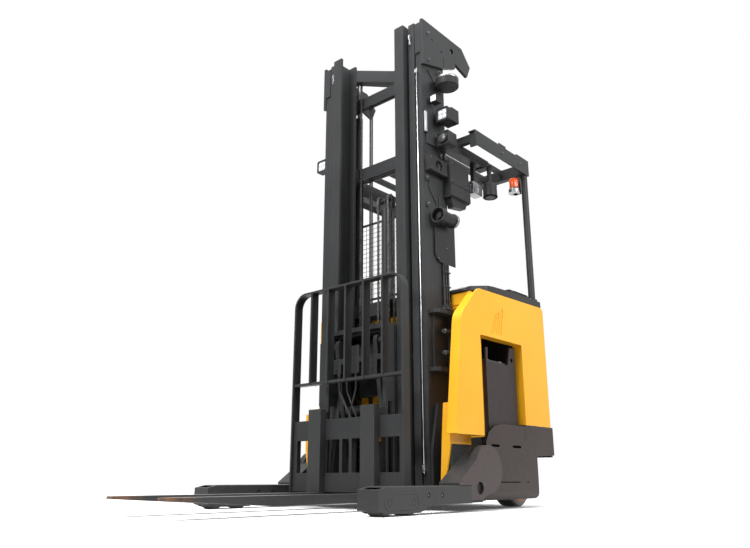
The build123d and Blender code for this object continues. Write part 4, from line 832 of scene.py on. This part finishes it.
# %% Silver unit
unit = start_block("unit", (-0.765, 0.4483, 1.9257), (-0.660, 0.5043, 2.0077))
round_edges_along(unit, Y, 0.008, 4)
inset_faces(unit, LEFT, 0.006, -0.002)
inset_faces(unit, FRONT, 0.006, -0.002)
soften(unit, 0.0012)
unit_parts = [unit]
for plug_z in (1.948, 1.967, 1.986):
    plug = start_round("plug", (-0.6615, 0.476, plug_z), 0.0070, 0.010, X, 20)
    inset_faces(plug, FRONT, 0.002, -0.002)
    unit_parts.append(soften(plug, 0.0005))
    side_plug = start_round("side_plug", (-0.715, 0.5035, plug_z), 0.0075, 0.008, Y, 20)
    inset_faces(side_plug, LEFT, 0.002, 0.002)
    unit_parts.append(soften(side_plug, 0.0005))
silver_unit = fit(join(unit_parts, "guard_unit"), silver)
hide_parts("guard_fittings")

# %% Hangers and dome
hanger = start_block("hanger", (-0.725, 0.4583, 2.0060), (-0.700, 0.4883, 2.1497))
DOME_X, DOME_Y = -0.815, 0.532
stem = start_round("stem", (DOME_X, DOME_Y, 2.083), 0.015, 0.126, Z, 28)
top_plate = start_block("top_plate", (-0.845, 0.442, 2.1417), (-0.785, 0.558, 2.1497))
dome = start_round("dome", (DOME_X, DOME_Y, 1.9747), 0.046, 0.094, Z, 44)
inset_faces(dome, UNDER, 0.010, 0.0)
pick_faces(dome, facing(Z, -1.0, 0.99))
bpy.ops.mesh.bevel(offset=0.009, segments=5, affect="EDGES")
bpy.ops.object.mode_set(mode="OBJECT")
inset_faces(dome, TOP, 0.012, 0.004)
inset_faces(hanger, FRONT, 0.003, 0.0003)
inset_faces(stem, TOP, 0.003, 0.0003)
inset_faces(top_plate, UNDER, 0.004, 0.0003)
hangers = [soften(form, 0.0012) for form in (hanger, stem, top_plate, dome)]
hanging = fit(join(hangers, "guard_hangers"), plastic)
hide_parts("guard_fittings")

# %% [markdown]
# ## Drum highlight band and wire clamp
# The sensor drum gets a silver band around its rim, a painted highlight for the lit top of
# its wall, and the draw wire ends in a small bright clamp low on the mast.

# %% Band and clamp
# Painted highlight: a silver band stands for the light on the top of the drum's wall.
drum_highlight_band = start_round("drum_highlight_band", (-0.389, 0.5163, 2.6120), 0.0746, 0.012, Z, 64)
bore_through(drum_highlight_band, Z, 0.0016)
fit(soften(drum_highlight_band, 0.0004), silver)
wire_clamp = start_block("wire_clamp", (-0.2235, 0.3900, 0.200), (-0.2140, 0.4060, 0.232))
inset_faces(wire_clamp, FRONT, 0.003, 0.0015)
fit(soften(wire_clamp, 0.0008), silver)

# %% [markdown]
# ## Clips on the mast's side and the chain end at its top
# Wires along the outer rail are held by small clips with a screw each. At the top of the
# middle stage a chain ends in a bright fork with two nuts, which catches the light between
# the rails. Clip and nut are each modelled once and copied.

# %% Wire clips
clip = start_block("clip", (-0.010, 0.0002, -0.016), (0.010, 0.0130, 0.016))
round_edges_along(clip, Y, 0.004, 3)
inset_faces(clip, LEFT, 0.003, -0.0015)
soften(clip, 0.0006)
screw = start_round("clip_screw", (0.0, 0.0135, 0.006), 0.0042, 0.005, Y, 16)
inset_faces(screw, LEFT, 0.0014, -0.0010)
soften(screw, 0.0003)
clips, screws = [], []
for clip_x, clip_z in ((-0.257, 2.030), (-0.257, 1.912), (-0.404, 2.105), (-0.446, 2.112),
                       (-0.262, 1.742), (-0.430, 1.748)):
    spot = at(clip_x, 0.4303, clip_z)
    clips.append(twin(clip, "clip_copy", spot))
    screws.append(twin(screw, "screw_copy", spot))
for form in (clip, screw):
    bpy.data.objects.remove(form)
fit(join(clips, "wire_clips"), plastic)
fit(join(screws, "clip_screws"), silver)

# %% Chain end on the middle stage
def rod_and_nuts(x, y, middle_z, length, radius, nut_heights, nut_radius, nut_depth):
    rod = start_round("rod", (x, y, middle_z), radius, length, Z, 16)
    inset_faces(rod, UNDER, 0.001, 0.001)
    parts = [soften(rod, 0.0004)]
    for nut_z in nut_heights:
        nut = start_round("nut", (x, y, nut_z), nut_radius, nut_depth, Z, 6)
        inset_faces(nut, both_ends(Z), 0.001, 0.0006)
        parts.append(soften(nut, 0.0005))
    return parts


ends = []
for end_y in (-0.350, 0.350):
    fork = start_block("end_fork", (-0.2268, end_y - 0.009, 2.905),
                       (-0.2150, end_y + 0.009, 2.938))
    round_edges_along(fork, X, 0.005, 3)
    inset_faces(fork, FRONT, 0.003, -0.0015)
    ends.append(soften(fork, 0.0008))
    ends += rod_and_nuts(-0.2210, end_y, 2.885, 0.044, 0.0050, (2.8700, 2.8820), 0.0085, 0.009)
fit(join(ends, "chain_ends"), silver, "mast_mid")

# %% [markdown]
# ## Cooling fan
# A small fan sits in the round recess of the fan box. One blade is a thin block, tapered
# by an inset, then turned to its pitch and copied seven times around the hub.

# %% Fan rotor
FAN_X, FAN_Z = -0.338, 2.008
fan_hub = start_round("fan_hub", (FAN_X, 0.4650, FAN_Z), 0.010, 0.010, Y, 28)
inset_faces(fan_hub, LEFT, 0.003, 0.001)
soften(fan_hub, 0.0006)
fan_blade = start_block("fan_blade", (0.008, -0.0006, -0.0075), (0.0305, 0.0006, 0.0075))
inset_faces(fan_blade, FRONT, 0.0002, 0.0004)
soften(fan_blade, 0.0003)
fan_parts = [fan_hub]
for turn in range(7):
    spot = (at(FAN_X, 0.4640, FAN_Z)
            @ Matrix.Rotation(math.tau * turn / 7, 4, "Y")
            @ Matrix.Rotation(math.radians(32.0), 4, "X"))
    fan_parts.append(twin(fan_blade, "fan_blade_copy", spot))
bpy.data.objects.remove(fan_blade)
fit(join(fan_parts, "fan_rotor"), plastic)

# %% [markdown]
# ## Hexagon bolts
# One bolt is modelled pointing up: a washer, and a hexagon head whose top is drawn in to a
# chamfer. Copies of it, each with its own mesh, are scaled and turned to the face that
# they hold, and joined into one piece per body.

# %% One bolt
def model_bolt(across=0.018):
    washer = start_round("washer", (0.0, 0.0, across * 0.08), across * 0.74, across * 0.16,
                         Z, 20)
    head = start_round("head", (0.0, 0.0, across * 0.43), across * 0.577, across * 0.56, Z, 6)
    inset_faces(head, TOP, across * 0.07, across * 0.05)
    inset_faces(head, facing(Z, 1.0, 0.98), across * 0.16, -across * 0.04)
    return soften(join([washer, head], "bolt"), across * 0.02)


TO_FACE = {"+x": Matrix.Rotation(math.pi / 2, 4, "Y"), "-x": Matrix.Rotation(-math.pi / 2, 4, "Y"),
           "+y": Matrix.Rotation(-math.pi / 2, 4, "X"), "-y": Matrix.Rotation(math.pi / 2, 4, "X"),
           "+z": Matrix.Identity(4), "-z": Matrix.Rotation(math.pi, 4, "X")}
bolt_model = model_bolt()
print("bolt:", len(bolt_model.data.polygons), "faces")


# %% Rows of bolts
def fit_bolts(tag, body, rows):
    copies = []
    for direction, size, places in rows:
        for place in places:
            spot = at(*place) @ TO_FACE[direction] @ Matrix.Scale(size, 4)
            copies.append(twin(bolt_model, "bolt_copy", spot))
    return fit(join(copies, "bolts_" + tag), bolt_steel, body)


fit_bolts("mast_side", "chassis", (
    ("+y", 0.9, ((-0.285, 0.4503, 2.94), (-0.285, 0.4503, 2.74), (-0.40, 0.4503, 2.70))),
    ("+y", 0.45, ((-0.505, 0.4433, 1.66), (-0.505, 0.4433, 1.42), (-0.345, 0.4433, 1.575),
                  (-0.345, 0.4433, 1.42), (-0.43, 0.4433, 1.50))),
    ("+y", 0.45, ((-0.620, 0.4893, 1.945), (-0.450, 0.4893, 1.945), (-0.620, 0.4893, 2.062),
                  (-0.450, 0.4893, 2.062))),
    ("+y", 0.35, ((-0.414, 0.4723, 2.044), (-0.262, 0.4723, 2.044), (-0.414, 0.4723, 1.972),
                  (-0.262, 0.4723, 1.972))),
))
fit_bolts("guard", "chassis", (
    ("+z", 0.6, ((-1.171, 0.604, 1.286), (-1.123, 0.604, 1.286), (-1.147, 0.580, 1.286),
                 (-1.171, -0.604, 1.286), (-1.123, -0.604, 1.286), (-1.147, -0.580, 1.286))),
    ("+y", 0.7, ((-0.83, 0.6313, 2.223), (-1.05, 0.6313, 2.223))),
    ("-y", 0.7, ((-0.83, -0.6313, 2.223), (-1.05, -0.6313, 2.223))),
))
fit_bolts("legs", "chassis", (
    ("+y", 0.6, ((0.118, 0.6803, 0.087), (0.010, 0.6803, 0.085))),
    ("-y", 0.6, ((0.118, -0.6803, 0.087), (0.010, -0.6803, 0.085))),
))
bosses = []
for boss_z in (0.850, 0.975):
    boss = start_round("boss", (-0.378, 0.4683, boss_z), 0.0145, 0.058, X, 28)
    inset_faces(boss, FRONT, 0.003, 0.0008)
    bosses.append(soften(boss, 0.0008))
fit(join(bosses, "mount_bosses"), charcoal)
fit_bolts("mount", "chassis", (
    ("+x", 1.15, ((-0.3490, 0.4683, 0.850), (-0.3490, 0.4683, 0.975))),
    ("+x", 0.6, ((-0.3775, 0.4460, 1.116),)),
    ("+y", 0.6, ((-0.428, 0.4645, 1.116), (-0.394, 0.4645, 1.116))),
))

# %% [markdown]
# ## Leaf chains
# Lift chains are leaf chains: stacks of plates on pins. A plate is a block with cut
# corners, and two sorts of link take turns: three outer plates, then two inner ones, each
# with its pin. The links are copied at every pitch, turning with the path where it bows
# over the pulley. Hundreds of copies are the reason for so few faces each.

# %% One link of each sort
PITCH = 0.015875
PLATE_HALF = PITCH / 2 + 0.0040


def model_plate(low_y, high_y):
    plate = start_block("plate", (-0.0043, low_y, PITCH / 2 - PLATE_HALF),
                        (0.0043, high_y, PITCH / 2 + PLATE_HALF))
    round_edges_along(plate, Y, 0.0030, 1)
    return plate


def model_link(name, rows):
    pin = start_round("pin", (0.0, 0.0, 0.0), 0.0022, 0.0158, Y, 8)
    inset_faces(pin, both_ends(Y), 0.0006, 0.0001)
    return join([model_plate(*row) for row in rows] + [pin], name)


outer_link = model_link("outer_link", ((-0.0076, -0.0054), (-0.0011, 0.0011), (0.0054, 0.0076)))
inner_link = model_link("inner_link", ((-0.0049, -0.0016), (0.0016, 0.0049)))
print("links:", len(outer_link.data.polygons), len(inner_link.data.polygons), "faces")


# %% Chains along their paths
def lay_chain(name, length, spot_at, side_y):
    links = []
    for number in range(int(length / PITCH)):
        x, z, turn = spot_at(number * PITCH)
        spot = at(x, side_y, z) @ Matrix.Rotation(turn, 4, "Y")
        links.append(twin(inner_link if number % 2 else outer_link, "link_copy", spot))
    left = join(links, name + "_left")
    right = twin(left, name + "_right", MIRROR)
    return left, right


MAST_CHAIN_X, MAST_CHAIN_Y, MAST_CHAIN_FROM = -0.4132, 0.254, 0.204
BOW_X, BOW_Z, BOW_RADIUS = -0.382, 1.922, 0.0268
FRONT_FROM, REAR_FROM = 1.030, 0.305
FRONT_RUN = BOW_Z - FRONT_FROM
REAR_RUN = BOW_Z - REAR_FROM


def on_lift_chain(along):
    if along < FRONT_RUN:
        return BOW_X + BOW_RADIUS, FRONT_FROM + along, 0.0
    turn = (along - FRONT_RUN) / BOW_RADIUS
    if turn < math.pi:
        return (BOW_X + BOW_RADIUS * math.cos(turn), BOW_Z + BOW_RADIUS * math.sin(turn),
                -turn)
    return BOW_X - BOW_RADIUS, BOW_Z - (along - FRONT_RUN - math.pi * BOW_RADIUS), math.pi


def on_mast_chain(along):
    return MAST_CHAIN_X, MAST_CHAIN_FROM + along, 0.0


lift_length = FRONT_RUN + math.pi * BOW_RADIUS + REAR_RUN
for chain in lay_chain("lift_chain", lift_length, on_lift_chain, 0.043):
    fit(chain, chain_steel, "mast_inner")
    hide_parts("lift_chains")
for chain in lay_chain("mast_chain", 2.70, on_mast_chain, MAST_CHAIN_Y):
    fit(chain, chain_steel, "mast_inner")
    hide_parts("mast_chains")
bpy.data.objects.remove(outer_link)
bpy.data.objects.remove(inner_link)

# %% [markdown]
# ## Chain anchors
# Each chain ends in an anchor bolt: a fork that holds the last pin, a rod and a pair of
# nuts. The fork is a block with rounded corners, and the nuts are six-sided rounds whose
# faces are drawn in for the chamfer.

# %% Anchors
def model_anchor(x, y, top_z, drop):
    fork = start_block("fork", (x - 0.0044, y - 0.0080, top_z - 0.028),
                       (x + 0.0044, y + 0.0080, top_z))
    round_edges_along(fork, X, 0.003, 2)
    return [soften(fork, 0.0006)] + rod_and_nuts(
        x, y, top_z - 0.028 - drop / 2, drop, 0.0048,
        (top_z - drop, top_z - drop - 0.011), 0.0088, 0.008)


anchor_parts = []
for anchor_y in (-MAST_CHAIN_Y, MAST_CHAIN_Y):
    anchor_parts += model_anchor(MAST_CHAIN_X, anchor_y, MAST_CHAIN_FROM, 0.075)
mast_anchors = fit(join(anchor_parts, "mast_anchors"), bolt_steel, "mast_inner")
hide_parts("mast_chains")

# %% [markdown]
# ## Wire screen
# A welded wire screen between the mast and the driver keeps hands out of the chains. One
# upright and one cross wire are modelled, with rounded ends, and copied to a grid. Two flat
# bars carry it, and stand off the outer mast's cross ties on short spacers.

# %% Screen wires
SCREEN_X = -0.486
SCREEN_HALF = 0.300
SCREEN_BOTTOM, SCREEN_TOP = 1.305, 1.840


def model_wire(name, centre, length, axis):
    wire = start_round(name, centre, 0.0015, length, axis, 8)
    inset_faces(wire, both_ends(axis), 0.0006, 0.0004)
    make_active(wire)
    bpy.ops.object.shade_smooth_by_angle(angle=math.radians(60.0))
    return wire


middle_z = (SCREEN_BOTTOM + SCREEN_TOP) / 2
upright = model_wire("upright", (SCREEN_X, -SCREEN_HALF, middle_z),
                     SCREEN_TOP - SCREEN_BOTTOM, Z)
crossing = model_wire("crossing", (SCREEN_X - 0.0026, 0.0, SCREEN_BOTTOM + 0.004),
                      2 * SCREEN_HALF + 0.02, Y)
wires = [upright, crossing]
for number in range(1, 19):
    wires.append(twin(upright, "upright_copy", at(y=number * SCREEN_HALF / 9)))
for number in range(1, 17):
    wires.append(twin(crossing, "crossing_copy", at(z=number * 0.0329)))
fit(join(wires, "screen_wires"), screen_wire)

# %% Screen bars
screen_parts = []
for bar_y in (-0.311, 0.311):
    bar = start_block("screen_bar", (SCREEN_X - 0.006, bar_y - 0.009, 1.235),
                      (SCREEN_X - 0.001, bar_y + 0.009, 2.200))
    round_edges_along(bar, X, 0.006, 4)
    screen_parts.append(soften(bar, 0.0008))
    for spacer_z in (1.255, 2.180):
        spacer = start_round("spacer", (-0.4780, bar_y, spacer_z), 0.008, 0.0176, X, 20)
        inset_faces(spacer, both_ends(X), 0.001, 0.0002)
        screen_parts.append(soften(spacer, 0.0004))
for rail_z in (SCREEN_BOTTOM, SCREEN_TOP):
    rail = start_block("screen_rail", (SCREEN_X - 0.0055, -0.318, rail_z - 0.008),
                       (SCREEN_X - 0.0012, 0.318, rail_z + 0.008))
    round_edges_along(rail, X, 0.004, 3)
    screen_parts.append(soften(rail, 0.0008))
fit(join(screen_parts, "screen_frame"), charcoal)

# %% [markdown]
# ## Padded back rest
# The driver leans on a vinyl pad on the battery's wall. The pad starts a little smaller
# than its space, is remeshed fine, and is blown up for twenty frames as cloth with air
# pressure and no gravity, which crowns its face and rounds its rim as stuffing does. Its
# back stays flat on the wall. Two sewn channels are pressed in afterwards, because the
# remesh would have closed them.

# %% Blow up the pad
PAD_BACK, PAD_FRONT = -0.9305, -0.9755
PAD_LOW = (-0.962, -0.535, 0.830)
PAD_HIGH = (PAD_BACK, 0.030, 1.120)
vinyl = coated("grained_vinyl", (0.018, 0.018, 0.019), (0.026, 0.025, 0.025),
               rough=(0.38, 0.52), peel=0.55, peel_scale=520.0, drift_scale=8.0)


def blow_up(pad, pressure, frames, most):
    start = [vertex.co.copy() for vertex in pad.data.vertices]
    cloth = pad.modifiers.new("stuffing", "CLOTH")
    cloth.settings.use_pressure = True
    cloth.settings.uniform_pressure_force = pressure
    cloth.settings.effector_weights.gravity = 0.0
    cloth.point_cache.frame_start = 1
    cloth.point_cache.frame_end = frames
    for step in range(1, frames + 1):
        bpy.context.scene.frame_set(step)
    make_active(pad)
    bpy.ops.object.modifier_apply(modifier=cloth.name)
    bpy.context.scene.frame_set(1)
    for vertex, before in zip(pad.data.vertices, start):
        move = vertex.co - before
        if move.length > most:
            vertex.co = before + move.normalized() * most


def sew_channel(pad, height, depth=0.005, width=0.007):
    for vertex in pad.data.vertices:
        if vertex.co.x < PAD_BACK - 0.012:
            off = (vertex.co.z - height) / width
            vertex.co.x += depth * math.exp(-off * off)


pad = start_block("back_pad", PAD_LOW, PAD_HIGH)
round_edges_along(pad, X, 0.035, 6)
inset_faces(pad, BACK, 0.010, 0.006)
remesh = pad.modifiers.new("even_mesh", "REMESH")
remesh.mode = "VOXEL"
remesh.voxel_size = 0.006
make_active(pad)
bpy.ops.object.modifier_apply(modifier=remesh.name)
blow_up(pad, 4.0, 20, 0.009)
for vertex in pad.data.vertices:
    vertex.co.x = max(min(vertex.co.x, PAD_BACK), PAD_FRONT)
for channel_z in (0.927, 1.023):
    sew_channel(pad, channel_z)
smooth = pad.modifiers.new("even_skin", "SUBSURF")
smooth.levels = 1
smooth.render_levels = 1
make_active(pad)
bpy.ops.object.modifier_apply(modifier=smooth.name)
bpy.ops.object.shade_smooth()
fit(pad, vinyl, slot="black_vinyl")
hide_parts("cab_cushion")

# %% [markdown]
# ## Operator's mat
# The driver stands on a ribbed rubber mat. The top of a thin block gets an inset border,
# is cut into narrow strips, and every other strip is raised.

# %% Mat
RIB_FROM, RIB_STEP = -0.600, 0.0248
mat_block = start_block("floor_mat", (-1.200, -0.615, 0.2602), (-0.940, 0.055, 0.2650))
round_edges_along(mat_block, Z, 0.020, 4)
inset_faces(mat_block, TOP, 0.014, 0.0)
make_active(mat_block)
for cut in range(26):
    cut_y = RIB_FROM + cut * RIB_STEP
    bpy.ops.object.mode_set(mode="EDIT")
    bpy.ops.mesh.select_all(action="SELECT")
    bpy.ops.mesh.bisect(plane_co=(0.0, cut_y, 0.0), plane_no=(0.0, 1.0, 0.0))
    bpy.ops.object.mode_set(mode="OBJECT")


def mat_rib(face):
    middle = face.calc_center_median()
    strip = int((middle.y - RIB_FROM) // RIB_STEP)
    inside = -1.187 < middle.x < -0.953 and middle.y > RIB_FROM
    return face.normal.z > 0.9 and inside and strip % 2 == 0 and strip < 25


inset_faces(mat_block, mat_rib, 0.0025, 0.0022)
fit(soften(mat_block, 0.0006), rubber, slot="black_vinyl")

# %% [markdown]
# ## Driver's console
# A screen in a raised bezel, a red stop button and a row of push buttons sit on the
# console. The bezel is a block with an inset dark glass, and the stop button is a short
# stem with a mushroom head on it.

# %% Console screen and buttons
CONSOLE_TOP = 1.330
bezel = start_block("console_bezel", (-1.105, 0.405, CONSOLE_TOP + 0.0002),
                    (-0.985, 0.535, CONSOLE_TOP + 0.012))
round_edges_along(bezel, Z, 0.010)
inset_faces(bezel, TOP, 0.010, -0.002)
fit(soften(bezel, 0.0010), plastic)
display = start_block("console_display", (-1.094, 0.416, CONSOLE_TOP + 0.0095),
                      (-0.996, 0.524, CONSOLE_TOP + 0.0112))
inset_faces(display, TOP, 0.001, 0.0004)
fit(soften(display, 0.0003), dark_glass)
STOP_X, STOP_Y = -1.145, 0.150
stem = start_round("stop_stem", (STOP_X, STOP_Y, CONSOLE_TOP + 0.010), 0.011, 0.0196, Z, 28)
inset_faces(stem, TOP, 0.003, 0.0)
fit(soften(stem, 0.0008), plastic)
stop_head = start_round("stop_button", (STOP_X, STOP_Y, CONSOLE_TOP + 0.0235), 0.018, 0.008,
                        Z, 36)
inset_faces(stop_head, TOP, 0.005, 0.004)
fit(soften(stop_head, 0.0020, 4), red_plastic)
button = start_block("button", (-0.985, 0.140, CONSOLE_TOP + 0.0002),
                     (-0.965, 0.160, CONSOLE_TOP + 0.006))
round_edges_along(button, Z, 0.004, 3)
inset_faces(button, TOP, 0.003, -0.0008)
soften(button, 0.0005)
buttons = [button] + [twin(button, "button_copy", at(y=0.032 * step))
                      for step in range(1, 5)]
fit(join(buttons, "console_buttons"), plastic)

# %% [markdown]
# ## Rear service door
# The back of the cab has a service door over the drive motor. It is a thin panel with
# rounded corners and a raised field, a recessed pull with a bar across it, and two hinges,
# each a round pin between two leaves.

# %% Door, pull and hinges
DOOR_X = -1.2122
door = start_block("door", (DOOR_X - 0.0045, 0.105, 0.470), (DOOR_X, 0.575, 1.175))
round_edges_along(door, X, 0.030, 6)
inset_faces(door, BACK, 0.018, 0.0)
inset_faces(door, facing(X, -1.0, 0.999), 0.006, -0.0015)
fit(soften(door, 0.0012), plastic)
pull = start_block("pull", (DOOR_X - 0.0110, 0.140, 0.800), (DOOR_X - 0.0040, 0.185, 0.920))
round_edges_along(pull, X, 0.010, 4)
inset_faces(pull, BACK, 0.006, -0.004)
bar = start_block("pull_bar", (DOOR_X - 0.0125, 0.148, 0.855), (DOOR_X - 0.0085, 0.177, 0.867))
inset_faces(bar, BACK, 0.002, 0.0004)
fit(join([soften(pull, 0.0012), soften(bar, 0.0008)], "door_pull"), rubber)
hinges = []
for hinge_z in (0.590, 1.055):
    pin = start_round("hinge_pin", (DOOR_X - 0.0075, 0.585, hinge_z), 0.006, 0.070, Z, 20)
    inset_faces(pin, both_ends(Z), 0.0015, 0.0006)
    leaf = start_block("hinge_leaf", (DOOR_X - 0.0075, 0.555, hinge_z - 0.030),
                       (DOOR_X - 0.0002, 0.603, hinge_z + 0.030))
    inset_faces(leaf, BACK, 0.003, -0.0008)
    hinges += [soften(pin, 0.0006), soften(leaf, 0.0008)]
fit(join(hinges, "door_hinges"), charcoal)

# %% [markdown]
# ## Battery cells
# Seen from above and behind, the battery shows its cells: two rows of lids, each with a
# filler cap, joined by lead straps. One cell lid and one cap are modelled and copied.

# %% Battery top
CELL_STEP = 0.0978
battery_black = coated("battery_lid", (0.03, 0.03, 0.032), (0.045, 0.043, 0.04),
                       rough=(0.45, 0.6), drift_scale=10.0, peel=0.2)
cap_grey = coated("filler_cap", (0.62, 0.60, 0.52), (0.5, 0.48, 0.42), rough=(0.35, 0.5),
                  drift_scale=20.0)
lid = start_block("cell_lid", (-0.868, -0.585, 0.8152), (-0.742, -0.495, 0.832))
round_edges_along(lid, Z, 0.006, 3)
inset_faces(lid, TOP, 0.008, -0.002)
soften(lid, 0.0010)
cap = start_round("cell_cap", (-0.805, -0.540, 0.836), 0.017, 0.012, Z, 24)
inset_faces(cap, TOP, 0.004, 0.002)
inset_faces(cap, facing(Z, 1.0, 0.99), 0.004, -0.002)
soften(cap, 0.0006)
lids, caps = [lid], [cap]
for row in range(2):
    for column in range(12):
        if row or column:
            step = at(row * 0.140, column * CELL_STEP)
            lids.append(twin(lid, "lid_copy", step))
            caps.append(twin(cap, "cap_copy", step))
fit(join(lids, "cell_lids"), battery_black)
fit(join(caps, "cell_caps"), cap_grey)

# %% Lead straps
strap = start_block("strap", (-0.752, -0.549, 0.8305), (-0.718, -0.531, 0.8365))
round_edges_along(strap, Z, 0.005, 3)
inset_faces(strap, TOP, 0.003, 0.0006)
soften(strap, 0.0006)
straps = [strap] + [twin(strap, "strap_copy", at(y=column * CELL_STEP))
                    for column in range(1, 12)]
fit(join(straps, "cell_straps"), bolt_steel)

# %% [markdown]
# ## Hub nuts and cable ties
# The drive wheel is held by a ring of nuts around its hub. The cables down the mast are
# kept together by ties, each a small bored block around all three.

# %% Drive wheel nuts
hub_rows = []
for turn in range(8):
    angle = math.tau * turn / 8
    hub_rows.append((DRIVE_X + 0.040 * math.cos(angle), 0.4853,
                     DRIVE_Z + 0.040 * math.sin(angle)))
fit_bolts("drive_wheel", "drive_wheel", (("+y", 0.6, tuple(hub_rows)),))

# %% Cable ties
tie_parts = []
for tie_z in (1.345, 1.255, 1.175):
    tie = start_block("tie", (-0.4490, 0.4340, tie_z - 0.003), (-0.3890, 0.4560, tie_z + 0.003))
    bore_through(tie, Z, 0.0025)
    tie_parts.append(soften(tie, 0.0005))
fit(join(tie_parts, "cable_ties"), plastic)
bpy.data.objects.remove(bolt_model)
